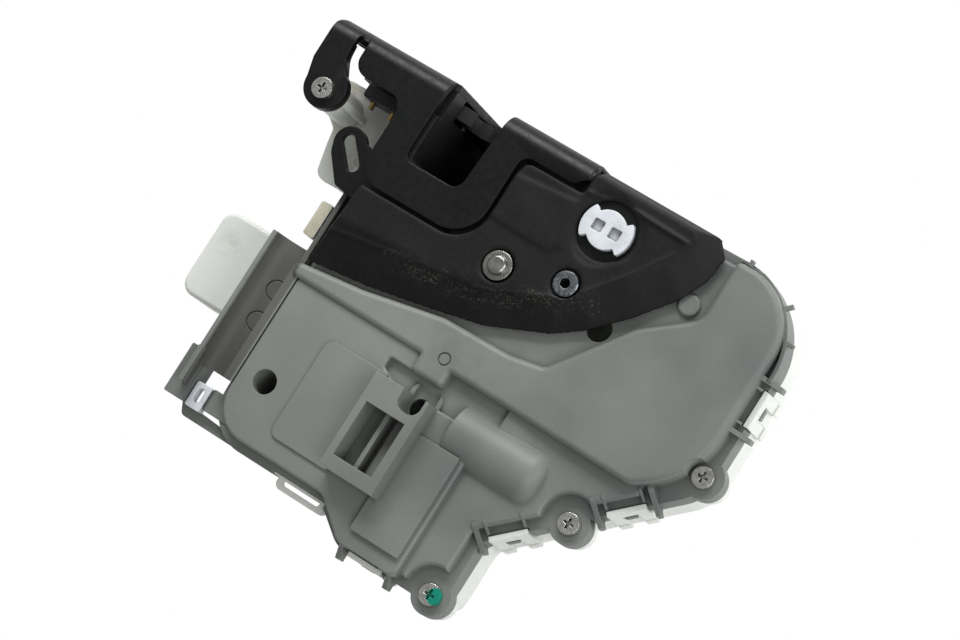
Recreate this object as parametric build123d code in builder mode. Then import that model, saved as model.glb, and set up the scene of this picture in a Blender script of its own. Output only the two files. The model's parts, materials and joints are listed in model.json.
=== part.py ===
# Door latch actuator: a bent steel latch plate with claw and pawl behind it, and a flat
# gear and switch case hung from it. Millimetres.
# Frame: +X runs along the latch plate, +Y is the outward normal of its face,
# +Z points at the inner door panel. The origin is the seated striker's axis at the
# plate's outer face.
import math
import os

from build123d import *

os.makedirs("parts", exist_ok=True)

# ---- driving dimensions ---------------------------------------------------------------
# steel latch plate
plate_t = 2.5            # sheet thickness
bend_r = 6.0             # outer radius between face and flange
flange_top = 50.0        # height of the flange's upper face
plate_bottom = -20.0     # lower edge of the face
plate_left = -44.0       # left edge of the face below the arm
plate_right = 44.0
arm_left = -57.5         # left edge of the arm and its wing
wing_bottom = 26.0       # lower edge of the wing that carries the arm
mouth_w = 22.0           # striker mouth, across
mouth_bottom = -6.0
mouth_r = 6.0            # bottom corners of the mouth
pocket_depth = 29.9      # how far the mouth reaches into the flange
arm_end = (-48.3, -22.6)  # centre of the arm's round end
arm_r = 7.4
arm_screw = (-48.2, -23.7)
arm_pad_t = 1.9          # plastic pad under the arm
face_screws = [(-51.0, 35.0), (37.0, 34.0), (37.0, -12.0)]  # x, z of the threaded holes
face_thread_r = 2.5      # M6 tapping size
collar_r = 4.2           # extruded collar round each thread
collar_h = 1.5

# claw and pawl, which turn about Y behind the face
claw_pin_xz = (-17.5, 9.0)
pawl_pin_xz = (21.0, -3.0)
pin_r = 3.5
pin_head_h = 1.2         # countersunk head, flush with the face
pin_head_grow = 1.4      # head radius beyond the shank
running_gap = 0.06       # radial clearance of every running fit
claw_r = 24.0            # outer radius of the claw
claw_front = -4.5        # y of the claw's front face
claw_t = 3.5
claw_notch_w = 12.4
claw_open_turn = 78.0    # from open to latched
claw_band_t = 1.0        # plastic band moulded round the claw
pawl_lift = 10.0         # how far the pawl lifts clear, degrees

# black housing behind the face
housing_left = -46.0
housing_wall = 2.2
chamber_depth = 12.6     # y of the claw chamber's back face
well_depth = 29.5        # y of the striker well's back face

# plate under the seal, and what it carries
deck_t = 2.4
lever_pivot = (33.6, -43.5)
lever_pin_r = 3.1
lever_t = 2.6
lever_gap = 0.5          # air between the deck and the release lever
release_travel = 12.0    # degrees
bush_xy = (55.6, -37.6)
bush_r = 4.2
bush_thread_r = 1.65     # M4 tapping size
cam_xy = (57.8, -17.0)
cam_r = 8.8
cam_core_r = 6.4
cam_stem_r = 5.0
cam_foot_r = 3.4         # thinner foot of the stem, beside the fork
cam_lift = 0.35          # air under the cam's lobes
cam_turn = 31.5          # degrees each way
crank_r = 9.0            # cam axis to crank pin
crank_w = 5.8
crank_z = 23.0           # underside of the crank
deck_post_xy = [(68.0, -27.0), (74.0, -10.0), (52.0, -28.0)]

# rubber seal
seal_t = 1.7
seal_lip_z = 42.0
seal_gap = 1.1           # gap round the flange it frames

# case: grey cover over a white tub
case_left = -27.0
case_top = -44.0
case_inner = 45.0        # where the case steps up beside the latch
case_right = 124.9
case_bottom = -143.3
case_diagonal = ((case_right, -70.3), (72.8, -118.2))    # ends of the long slanting edge
step_bottom = -135.3
case_floor = 14.0        # underside of the tub
split_z = 28.0           # joint between tub and cover
rim_z = 36.0             # cover's perimeter flange
rim_wall_t = 1.2         # thin wall round the cover's upper right corner
rim_wall_h = 3.0
low_z = 40.0             # cover's lower roof
low_roof_t = 1.4         # thinner there, to clear the worm
panel_z = 42.6           # left panel's roof
plateau_z = 44.4         # large rounded plateau
wall_t = 2.0
ledge = 3.2              # perimeter flange outside the raised roofs
tongue_end = 25.2        # where the plateau's tongue steps down to the channel
roof_right = 108.6       # right end of the lower roof
case_inner_edge = -3.0   # upper edge of the case beside the latch
boss_xy = [(122.2, -66.0), (93.9, -99.4), (68.2, -140.5)]
boss_r = 6.6
boss_bottom = 30.0
screw_head_r = 3.8
screw_head_h = 2.0
screw_shank_r = 1.6
upstand_x = (2.0, 22.5)   # tub's upstand behind the wire loop
loop_z = (33.0, 35.0)
upstand_in = 1.1         # its inner face from the case's edge
deep_screw = (-14.3, -112.2)
deep_hole_r = 4.1

# gear train
motor_y = -94.0
motor_z = 34.4
motor_r = 8.4
motor_left = 54.4
motor_len = 21.5
motor_cap_len = 2.6
worm_left = 39.5
worm_len = 9.0
worm_r = 3.2             # pitch radius
worm_pitch = 3.0
wheel_teeth = 20
wheel_t = 5.0
pinion_teeth = 10
sector_teeth = 30        # full circle count of the lock sector
drive_module = 1.0
lock_axle_dir = 45.0     # direction from wheel axle to lock axle, degrees
lock_lever_z = 28.0      # underside of the lock lever
lock_lever_t = 3.0
crank_pin_r = 1.8
fork_gap = 0.4           # play on each side of the crank pin in the fork
shaft_r = 1.2            # motor shaft
axle_r = 2.0             # wheel and lock axles

# connector
shroud_left = -67.0
shroud_right = -40.0
shroud_top = 22.0
shroud_bottom = 0.0
shroud_y = (-101.0, -70.0)
shroud_wall = 2.0

# values that follow
flange_under = flange_top - plate_t
bend_z = flange_top - bend_r
deck_top = flange_under
deck_under = deck_top - deck_t
lever_top = deck_under - lever_gap
lever_under = lever_top - lever_t
mouth_half = mouth_w / 2
claw_back = claw_front - claw_t
worm_wheel_r = wheel_teeth * worm_pitch / (2 * math.pi)
wheel_xy = (worm_left + worm_len / 2, motor_y + worm_r + worm_wheel_r)
pinion_r = pinion_teeth * drive_module / 2
sector_r = sector_teeth * drive_module / 2
lock_xy = (wheel_xy[0] + (pinion_r + sector_r) * math.cos(math.radians(lock_axle_dir)),
           wheel_xy[1] + (pinion_r + sector_r) * math.sin(math.radians(lock_axle_dir)))


# ---- helpers --------------------------------------------------------------------------
def outline(points, radii, mode=Mode.ADD):
    # closed profile with a radius at each corner, inside a BuildSketch
    with BuildLine() as line:
        FilletPolyline(*points, radius=radii, close=True)
    make_face(line.edges(), mode=mode)


def polar(centre, radius, degrees):
    a = math.radians(degrees)
    return (centre[0] + radius * math.cos(a), centre[1] + radius * math.sin(a))


def save(piece, name):
    piece.part.label = name
    export_step(piece.part, f"parts/{name}.step")


def case_outline(inset=0.0):
    # rim of cover and tub, drawn inset by a constant amount
    d = inset
    outline(
        [(case_left + d, case_top - d), (case_inner + d, case_top - d),
         (case_inner + d, case_inner_edge - d), (case_right - d, case_inner_edge + 1.5 - d),
         (case_diagonal[0][0] - d, case_diagonal[0][1] + 0.4 * d),
         (case_diagonal[1][0] - d, case_diagonal[1][1] + 0.6 * d),
         (case_diagonal[1][0] - d, case_bottom + d), (33.0 + 0.6 * d, case_bottom + d),
         (22.0 + 0.4 * d, step_bottom + d), (case_left + d, step_bottom + d)],
        [2.0, 2.0, 2.0, 27.0 - d, 16.0, 6.0, 6.0, 8.0, 8.0, 15.0 - d],
    )


def plateau_outline(inset=0.0):
    # large rounded plateau over the gear train, with a tongue along the seal's lower edge
    d = inset
    outline(
        [(-26.4 + d, -78.9 + d), (tongue_end + d, -79.0 + d), (tongue_end + d, -85.1 + d),
         (37.2 - d, -85.1 + d), (37.2 - d, -79.4 + d), (105.0 - 0.4 * d, -79.9 + d),
         (122.0 - d, -69.0 + 0.4 * d), (122.0 - d, -4.0 - d), (97.0 + d, -4.0 - d), (97.0 + d, -25.5),
         (81.0 + 0.6 * d, -37.8 - 0.8 * d), (62.5 + 0.4 * d, -62.6 - d), (50.4, -64.9 - d),
         (26.0, -65.5 - d), (17.6, -67.2 - d), (-2.5, -71.3 - d), (-26.4 + d, -74.2 - d)],
        [1.5 - 0.7 * d, 0.5, 1.5, 1.5, 0.5, 6.0, 30.0 - d, 20.0 - d, 2.0, 6.0, 14.0, 4.0, 12.0, 12.0,
         30.0, 40.0, 1.5 - 0.7 * d],
    )


def lower_roof(inset=0.0):
    # low part of the cover, cut back round the screw bosses and right of the plateau
    case_outline(ledge + inset)
    with Locations((roof_right + 20.0 - inset, -44.0)):
        Rectangle(40.0, 100.0, mode=Mode.SUBTRACT)
    with Locations(*boss_xy):
        Circle(boss_r + 2.4 + inset, mode=Mode.SUBTRACT)


def left_panel(inset=0.0):
    # flat raised part left of the motor, cut away round the channel above the window
    d = inset
    outline(
        [(case_left + ledge + d, -78.6 - d), (case_left + ledge + d, step_bottom + ledge + d),
         (22.3 + 0.6 * d, step_bottom + ledge + d), (35.0 + 0.4 * d, case_bottom + 0.9 + d),
         (56.8 - d, case_bottom + 0.9 + d), (56.8 - d, -91.0 - d), (22.4 - d, -91.0 - d),
         (17.0 - d, -88.3 - 0.4 * d),
         (17.0 - d, -84.7 + d), (tongue_end + 2.0 - d, -84.9 + d), (tongue_end + 2.0 - d, -78.6 - d)],
        [1.0, 13.0 - d, 6.0, 6.0, 3.0, 0.5, 2.0, 1.0, 1.0, 0.5, 0.5],
    )


def pin_head(centre_xz, mode=Mode.ADD):
    # countersunk head, flush with the plate's outer face
    with BuildSketch(Plane.XZ) as outer_face:
        with Locations(centre_xz):
            Circle(pin_r + pin_head_grow)
    with BuildSketch(Plane.XZ.offset(pin_head_h)) as inner_face:
        with Locations(centre_xz):
            Circle(pin_r)
    loft([outer_face.sketch, inner_face.sketch], ruled=True, mode=mode)


# ---- latch plate ----------------------------------------------------------------------
with BuildPart() as plate_blank:
    with BuildSketch(Plane.XZ):
        outline(
            [(arm_left, wing_bottom), (arm_left, bend_z), (plate_right, bend_z),
             (plate_right, plate_bottom), (plate_left, plate_bottom), (plate_left, wing_bottom)],
            [4.0, 0.0, 0.0, 6.0, 6.0, 4.0],
        )
    extrude(amount=plate_t)
    with BuildSketch(Plane.YZ.offset(arm_left)):
        with BuildLine():
            CenterArc((-bend_r, bend_z), bend_r, 0, 90)
            Line((-bend_r, flange_top), (-bend_r, flange_under))
            CenterArc((-bend_r, bend_z), bend_r - plate_t, 90, -90)
            Line((-plate_t, bend_z), (0, bend_z))
        make_face()
    extrude(amount=plate_right - arm_left)
    with BuildSketch(Plane.XY.offset(flange_under)):
        outline(
            [(-43.5, -bend_r), (-43.5, -13.8), (-22.8, -13.8), (-22.8, -42.2),
             (21.2, -42.2), (21.2, -9.7), (40.5, -9.7), (plate_right, -bend_r)],
            [0.0, 5.2, 5.5, 8.0, 12.0, 4.0, 2.5, 0.0],
        )
        outline(
            [(arm_left, -bend_r), (-47.9, -bend_r), (-47.4, -11.0), (-43.9, -17.2),
             (-41.7, -19.8), arm_end, (arm_end[0] - arm_r, arm_end[1]), (arm_left, -16.0)],
            [0.0, 0.0, 8.0, 4.0, 0.0, 0.0, 0.0, 6.0],
        )
        with Locations(arm_end):
            Circle(arm_r)
    extrude(amount=plate_t)
    # rounded ends of the bend at both ends of the plate
    with BuildSketch(Plane.XY.offset(plate_bottom - 1)):
        with Locations((arm_left, 0)):
            Rectangle(2 * 3.0, 2 * 3.0)
        with Locations((arm_left + 3.0, -3.0)):
            Circle(3.0, mode=Mode.SUBTRACT)
    extrude(amount=flange_top - plate_bottom + 2, mode=Mode.SUBTRACT)
    # gap between arm and main flange, cut into the bend
    with BuildSketch(Plane.XY.offset(bend_z - 6.0)):
        outline([(-47.9, -1.8), (-43.5, -1.8), (-43.5, -12.0), (-47.9, -12.0)], [2.1, 2.1, 0.0, 0.0])
    extrude(amount=flange_top, mode=Mode.SUBTRACT)
    # striker mouth through flange, bend and face
    with BuildSketch(Plane.XY.offset(bend_z)):
        outline([(-12.2, 1.0), (-12.2, -pocket_depth), (9.2, -pocket_depth), (10.9, 1.0)],
                [0.0, 3.5, 4.2, 0.0])
    extrude(amount=bend_r + 1, mode=Mode.SUBTRACT)
    with BuildSketch(Plane.XZ.offset(-1)):
        outline([(-mouth_half, bend_z + 1), (-mouth_half, mouth_bottom),
                 (mouth_half, mouth_bottom), (mouth_half, bend_z + 1)], [0.0, mouth_r, mouth_r, 0.0])
    extrude(amount=plate_t + 2, mode=Mode.SUBTRACT)
    # extruded collars with their threads, and the rivet holes of the two pins
    with BuildSketch(Plane.XZ.offset(plate_t)):
        with Locations(*face_screws):
            Circle(collar_r)
    extrude(amount=collar_h)
    with BuildSketch(Plane.XZ.offset(-1)):
        with Locations(*face_screws):
            Circle(face_thread_r)
        with Locations(claw_pin_xz, pawl_pin_xz):
            Circle(pin_r)
    extrude(amount=plate_t + collar_h + 2, mode=Mode.SUBTRACT)
    for pin_xz in (claw_pin_xz, pawl_pin_xz):
        pin_head(pin_xz, mode=Mode.SUBTRACT)
    with BuildSketch(Plane.XY.offset(flange_under - 1)):
        with Locations(arm_screw):
            Circle(screw_shank_r + 0.4)
    extrude(amount=plate_t + 2, mode=Mode.SUBTRACT)


def sheet_piece(low, high):
    # part of the pressed sheet inside a box, for pieces that meet flush
    middle = tuple((a + b) / 2 for a, b in zip(low, high))
    add(plate_blank.part)
    with Locations(middle):
        Box(*[b - a for a, b in zip(low, high)], mode=Mode.INTERSECT)


# the sheet in four pieces: flange with bend and arm, a cheek on each side of the mouth, the sill
sheet_back = -bend_r - 40.0
with BuildPart() as latch_plate:
    sheet_piece((arm_left, sheet_back, bend_z), (plate_right, 0.0, flange_top))
save(latch_plate, "latch_plate")

with BuildPart() as cheek_left:
    sheet_piece((arm_left, sheet_back, plate_bottom), (-mouth_half, 0.0, bend_z))
save(cheek_left, "cheek_left")

with BuildPart() as cheek_right:
    sheet_piece((mouth_half, sheet_back, plate_bottom), (plate_right, 0.0, bend_z))
save(cheek_right, "cheek_right")

with BuildPart() as mouth_sill:
    sheet_piece((-mouth_half, sheet_back, plate_bottom), (mouth_half, 0.0, bend_z))
save(mouth_sill, "mouth_sill")

with BuildPart() as arm_pad:
    with BuildSketch(Plane.XY.offset(flange_under - arm_pad_t)):
        outline(
            [(arm_left + 0.8, -bend_r), (-48.3, -bend_r), (-47.8, -11.0), (-44.3, -17.2),
             (-42.1, -19.8), arm_end, (arm_end[0] - arm_r + 0.2, arm_end[1]), (arm_left + 0.8, -16.0)],
            [0.0, 0.0, 8.0, 4.0, 0.0, 0.0, 0.0, 6.0],
        )
        with Locations(arm_end):
            Circle(arm_r - 0.2)
        with Locations(arm_screw):
            Circle(screw_shank_r + 0.4, mode=Mode.SUBTRACT)
    extrude(amount=arm_pad_t)
save(arm_pad, "arm_pad")

# ---- claw, pawl and their pins ----------------------------------------------------------
for pin_name, pin_xz in (("claw_pin", claw_pin_xz), ("pawl_pin", pawl_pin_xz)):
    with BuildPart() as pin:
        pin_head(pin_xz)
        with BuildSketch(Plane.XZ):
            with Locations(pin_xz):
                Circle(pin_r)
        extrude(amount=chamber_depth)
    save(pin, pin_name)

striker_angle = math.degrees(math.atan2(-claw_pin_xz[1], -claw_pin_xz[0]))
striker_reach = math.hypot(*claw_pin_xz)


def claw_profile(grow=0.0):
    # claw seen from outside the face, drawn in its open position
    turn = claw_open_turn
    here = claw_pin_xz
    notch = polar(here, striker_reach, striker_angle + turn)
    mouth_dir = striker_angle + turn
    with Locations(here):
        Circle(claw_r + grow)
    # keep only the sector that carries hook and lower prong
    cut_from = striker_angle + turn + 44.0
    cut_to = striker_angle + turn - 78.0
    span = (cut_to - cut_from) % 360
    wedge = [here] + [polar(here, 40.0, cut_from + span * k / 4) for k in range(5)]
    with BuildLine() as line:
        Polyline(*wedge, close=True)
    make_face(line.edges(), mode=Mode.SUBTRACT)
    with Locations(here):
        Circle(9.0 + grow)
    half = claw_notch_w / 2 - grow
    with Locations(notch):
        Circle(half, mode=Mode.SUBTRACT)
    far = polar(here, striker_reach + 20.0, mouth_dir)
    mid = ((notch[0] + far[0]) / 2, (notch[1] + far[1]) / 2)
    with Locations(Location((mid[0], mid[1], 0), (0, 0, mouth_dir))):
        Rectangle(20.0, 2 * half, mode=Mode.SUBTRACT)


with BuildPart() as claw:
    with BuildSketch(Plane.XZ.offset(-claw_front)):
        claw_profile()
        with Locations(claw_pin_xz):
            Circle(pin_r + running_gap, mode=Mode.SUBTRACT)
    extrude(amount=claw_t)
save(claw, "claw")

with BuildPart() as claw_band:
    with BuildSketch(Plane.XZ.offset(-claw_front - 0.7)):
        claw_profile(claw_band_t)
    extrude(amount=claw_t + 1.4)
    with BuildSketch(Plane.XZ.offset(-claw_front - 1)):
        claw_profile()
    extrude(amount=claw_t + 2, mode=Mode.SUBTRACT)
save(claw_band, "claw_band")

pawl_tip = (1.5, -10.0)
with BuildPart() as pawl:
    with BuildSketch(Plane.XZ.offset(-claw_front)):
        outline(
            [(pawl_pin_xz[0] - 4.0, pawl_pin_xz[1] - 2.6), (11.0, -7.2), (pawl_tip[0], -8.0),
             (pawl_tip[0] - 1.0, -12.2), (8.0, -13.6), (pawl_pin_xz[0] + 1.0, -8.4)],
            [0.0, 2.0, 0.6, 0.8, 3.0, 0.0],
        )
        outline([(pawl_pin_xz[0] - 2.0, pawl_pin_xz[1] + 2.0), (pawl_pin_xz[0] + 5.0, 8.0),
                 (pawl_pin_xz[0] + 9.5, 8.0), (pawl_pin_xz[0] + 5.0, pawl_pin_xz[1] - 3.0)],
                [0.0, 1.5, 1.5, 0.0])
        with Locations(pawl_pin_xz):
            Circle(6.0)
            Circle(pin_r + running_gap, mode=Mode.SUBTRACT)
    extrude(amount=claw_t)
save(pawl, "pawl")


def torsion_spring(centre_xz, coil_r, wire_r, turns, front):
    # close-wound coil about Y, each turn a ring
    for k in range(turns):
        y = front - wire_r - k * 2.02 * wire_r
        with Locations(Location((centre_xz[0], y, centre_xz[1]), (90, 0, 0))):
            Torus(coil_r, wire_r)


spring_front = claw_back - 1.1
with BuildPart() as claw_spring:
    torsion_spring(claw_pin_xz, pin_r + 1.2, 0.55, 2, spring_front)
save(claw_spring, "claw_spring")

with BuildPart() as pawl_spring:
    torsion_spring(pawl_pin_xz, pin_r + 1.2, 0.45, 2, spring_front)
save(pawl_spring, "pawl_spring")

# ---- latch housing ----------------------------------------------------------------------
chamber_back = chamber_depth - housing_wall
with BuildPart() as latch_housing:
    with BuildSketch(Plane.XZ.offset(plate_t)):
        outline([(housing_left, plate_bottom), (housing_left, 38.0), (-15.0, bend_z - 0.2),
                 (plate_right, bend_z - 0.2), (plate_right, plate_bottom)],
                [5.0, 8.0, 3.0, 2.0, 5.0])
    extrude(amount=chamber_depth - plate_t)
    # claw and pawl chamber, open to the face
    with BuildSketch(Plane.XZ.offset(plate_t)):
        with Locations(claw_pin_xz):
            Circle(claw_r + claw_band_t + 1.3)
        outline([(-4.0, -18.0), (34.0, -18.0), (34.0, 11.0), (8.0, 11.0)], [0.0, 3.0, 3.0, 0.0])
    extrude(amount=chamber_back - plate_t, mode=Mode.SUBTRACT)
    # throat from the face to the well, open towards the flange
    with BuildSketch(Plane.XZ.offset(plate_t)):
        outline([(-mouth_half, flange_top), (-mouth_half, mouth_bottom), (mouth_half, mouth_bottom),
                 (mouth_half, flange_top)], [0.0, 2.0, 2.0, 0.0])
    extrude(amount=chamber_depth, mode=Mode.SUBTRACT)
    # clearance for the plate's collars, pins through the back wall
    with BuildSketch(Plane.XZ.offset(plate_t)):
        with Locations(*face_screws[1:]):
            Circle(collar_r + 0.3)
    extrude(amount=chamber_depth, mode=Mode.SUBTRACT)
    with BuildSketch(Plane.XZ.offset(chamber_back - 1)):
        with Locations(claw_pin_xz, pawl_pin_xz):
            Circle(pin_r)
    extrude(amount=housing_wall + 2, mode=Mode.SUBTRACT)
    # round pockets for the two coil springs
    with BuildSketch(Plane.XZ.offset(chamber_back - 1)):
        with Locations(claw_pin_xz, pawl_pin_xz):
            Circle(pin_r + 2.4)
            Circle(pin_r, mode=Mode.SUBTRACT)
    extrude(amount=2.2, mode=Mode.SUBTRACT)
save(latch_housing, "latch_housing")

with BuildPart() as striker_box:
    # box behind the chamber that takes the striker's far end, open to the front and the flange
    with BuildSketch(Plane.XY.offset(mouth_bottom - housing_wall)):
        outline([(-mouth_half - housing_wall, -chamber_depth),
                 (-mouth_half - housing_wall, -well_depth - housing_wall),
                 (mouth_half + housing_wall, -well_depth - housing_wall),
                 (mouth_half + housing_wall, -chamber_depth)], [0.0, 4.0, 4.0, 0.0])
    extrude(amount=flange_under - mouth_bottom + housing_wall)
    with BuildSketch(Plane.XY.offset(mouth_bottom)):
        outline([(-mouth_half, -chamber_depth + 1), (-mouth_half, -well_depth), (mouth_half, -well_depth),
                 (mouth_half, -chamber_depth + 1)], [0.0, 2.0, 2.0, 0.0])
    extrude(amount=flange_top - mouth_bottom, mode=Mode.SUBTRACT)
    # stiffening ribs between the well and the bottom edge
    for rib_x in (-mouth_half - 1.0, 0.0, mouth_half + 1.0):
        with BuildSketch(Plane.YZ.offset(rib_x - 0.8)):
            with BuildLine():
                Polyline((-chamber_depth, mouth_bottom - 1), (-chamber_depth, plate_bottom + 2),
                         (-well_depth, mouth_bottom - 1), close=True)
            make_face()
        extrude(amount=1.6)
save(striker_box, "striker_box")

with BuildPart() as striker_buffer:
    # rubber block at the bottom of the well that stops the striker
    with BuildSketch(Plane.XY.offset(mouth_bottom)):
        with Locations((0, -(chamber_depth + well_depth) / 2)):
            RectangleRounded(mouth_w - 5.0, well_depth - chamber_depth - 4.0, 2.0)
    extrude(amount=2.5)
    fillet(striker_buffer.edges().group_by(Axis.Z)[-1], 0.8)
save(striker_buffer, "striker_buffer")

# ---- deck plate under the seal ------------------------------------------------------------
deck_points = [
    (13.6, -49.6), (30.0, -48.0), (54.0, -43.0), (70.0, -27.0), (82.0, -11.0), (82.0, -3.6), (46.0, -3.6),
    (46.0, -11.0), (13.6, -11.0),
]
deck_radii = [3.0, 0.0, 8.0, 0.0, 5.0, 2.0, 2.0, 2.0, 2.0]
with BuildPart() as deck_plate:
    with BuildSketch(Plane.XY.offset(deck_under)):
        outline(deck_points, deck_radii)
        with Locations(cam_xy):
            Circle(cam_stem_r + running_gap, mode=Mode.SUBTRACT)
        with Locations(lever_pivot):
            Circle(lever_pin_r, mode=Mode.SUBTRACT)
        with Locations(bush_xy):
            Circle(bush_r - 0.9, mode=Mode.SUBTRACT)
    extrude(amount=deck_t)
save(deck_plate, "deck_plate")

with BuildPart() as deck_posts:
    # spacers that carry the deck plate on the cover
    with BuildSketch(Plane.XY.offset(low_z)):
        with Locations(*deck_post_xy):
            Circle(2.6)
    extrude(amount=deck_under - low_z)
save(deck_posts, "deck_posts")

with BuildPart() as lever_pin:
    with BuildSketch(Plane.XY.offset(deck_top)):
        with Locations(lever_pivot):
            Circle(4.8)
    extrude(amount=1.9)
    with BuildSketch(Plane.XY.offset(lever_under - 0.3)):
        with Locations(lever_pivot):
            Circle(lever_pin_r)
    extrude(amount=flange_top + 1.2 - lever_under + 0.3)
    with BuildSketch(Plane.XY.offset(lever_under - 1.3)):
        with Locations(lever_pivot):
            Circle(4.4)
    extrude(amount=1.0)
    fillet(lever_pin.edges().group_by(Axis.Z)[-1], 0.9)
save(lever_pin, "lever_pin")

with BuildPart() as threaded_bush:
    with BuildSketch(Plane.XY.offset(deck_top)):
        with Locations(bush_xy):
            Circle(bush_r)
    extrude(amount=2.2)
    with BuildSketch(Plane.XY.offset(deck_under - 1.5)):
        with Locations(bush_xy):
            Circle(bush_r - 0.9)
    extrude(amount=deck_t + 1.5)
    chamfer(threaded_bush.edges().group_by(Axis.Z)[-1], 0.4)
    with BuildSketch(Plane.XY.offset(deck_under - 2)):
        with Locations(bush_xy):
            Circle(bush_thread_r)
    extrude(amount=10, mode=Mode.SUBTRACT)
save(threaded_bush, "threaded_bush")

with BuildPart() as release_lever:
    slot_a = (-33.9, -33.0)
    slot_b = (-27.9, -39.4)
    with BuildSketch(Plane.XY.offset(lever_under)):
        with Locations((-32.9, -33.8)):
            Circle(5.6)
        outline([(-38.3, -35.5), (-36.8, -39.2), (-29.6, -47.6), (-22.0, -48.6), (0.0, -47.8),
                 (lever_pivot[0] - 4.0, lever_pivot[1] - 6.4), (lever_pivot[0] + 2.0, lever_pivot[1] - 6.2),
                 (lever_pivot[0] + 3.0, lever_pivot[1] + 5.6), (8.0, -36.5), (-15.0, -36.5),
                 (-22.0, -36.0), (-27.2, -31.0)],
                [2.0, 4.0, 2.0, 8.0, 12.0, 3.0, 3.0, 3.0, 12.0, 8.0, 6.0, 2.0])
        with Locations(lever_pivot):
            Circle(6.6)
        with Locations(lever_pivot):
            Circle(lever_pin_r + running_gap, mode=Mode.SUBTRACT)
        slot_mid = ((slot_a[0] + slot_b[0]) / 2, (slot_a[1] + slot_b[1]) / 2)
        slot_dir = math.degrees(math.atan2(slot_b[1] - slot_a[1], slot_b[0] - slot_a[0]))
        with Locations(Location((slot_mid[0], slot_mid[1], 0), (0, 0, slot_dir))):
            SlotCenterToCenter(math.dist(slot_a, slot_b), 4.4, mode=Mode.SUBTRACT)
    extrude(amount=lever_t)
save(release_lever, "release_lever")

with BuildPart() as lock_cam:
    # key cylinder's driver: a core disc with two lobes, two windows and a stem
    with BuildSketch(Plane.XY.offset(deck_top + cam_lift)) as cam_face:
        with Locations(cam_xy):
            Circle(cam_r)
        for side in (90.0, 270.0):
            fan = [cam_xy] + [polar(cam_xy, 14.0, side + k * 25.0) for k in (-2, -1, 0, 1, 2)]
            with BuildLine():
                Polyline(*fan, close=True)
            make_face(mode=Mode.SUBTRACT)
        with Locations(cam_xy):
            Circle(cam_core_r)
        fillet(cam_face.vertices(), 0.5)
    extrude(amount=2.4)
    with BuildSketch(Plane.XY.offset(deck_top + 1.2)):
        with Locations((cam_xy[0] - 3.1, cam_xy[1]), (cam_xy[0] + 3.1, cam_xy[1])):
            RectangleRounded(3.9, 3.7, 0.6)
    extrude(amount=3, mode=Mode.SUBTRACT)
    fork_top = lock_lever_z + lock_lever_t
    with BuildSketch(Plane.XY.offset(fork_top + 1.5)):
        with Locations(cam_xy):
            Circle(cam_stem_r)
    extrude(amount=deck_top + cam_lift - fork_top - 1.5)
    with BuildSketch(Plane.XY.offset(crank_z)):
        with Locations(cam_xy):
            Circle(cam_foot_r)
    extrude(amount=fork_top + 1.5 - crank_z)
    # crank at the stem's foot, with the pin that the lock lever's fork holds
    with BuildSketch(Plane.XY.offset(crank_z)):
        with Locations(Location((cam_xy[0], cam_xy[1] - crank_r / 2, 0), (0, 0, 90))):
            SlotCenterToCenter(crank_r, crank_w)
    extrude(amount=2.5)
    with BuildSketch(Plane.XY.offset(crank_z)):
        with Locations((cam_xy[0], cam_xy[1] - crank_r)):
            Circle(crank_pin_r)
    extrude(amount=fork_top + 1.0 - crank_z)
save(lock_cam, "lock_cam")

# ---- rubber seal --------------------------------------------------------------------------
lip_points = [(-25.0, -73.4), (-2.5, -70.7), (17.6, -66.7), (37.8, -62.2), (57.9, -53.6),
              (67.9, -46.6), (78.0, -36.5), (88.1, -24.0), (92.6, -14.4), (93.6, -5.3), (89.0, -0.5),
              (46.2, -0.5), (-19.6, -35.0)]
top_points = [(-20.5, -56.0), (-2.5, -55.0), (16.0, -53.6), (33.0, -50.5), (55.5, -43.5),
              (63.0, -37.5), (70.5, -28.5), (80.0, -16.5), (84.0, -9.0), (84.6, -6.0), (82.0, -3.2),
              (46.2, -3.2), (-19.6, -35.0)]


def seal_body(points_low, points_high, z_low, z_high):
    with BuildSketch(Plane.XY.offset(z_low)) as low_face:
        with BuildLine() as line:
            Polyline(*points_low, close=True)
        make_face(line.edges())
    with BuildSketch(Plane.XY.offset(z_high)) as high_face:
        with BuildLine() as line:
            Polyline(*points_high, close=True)
        make_face(line.edges())
    loft([low_face.sketch, high_face.sketch], ruled=True)


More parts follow.
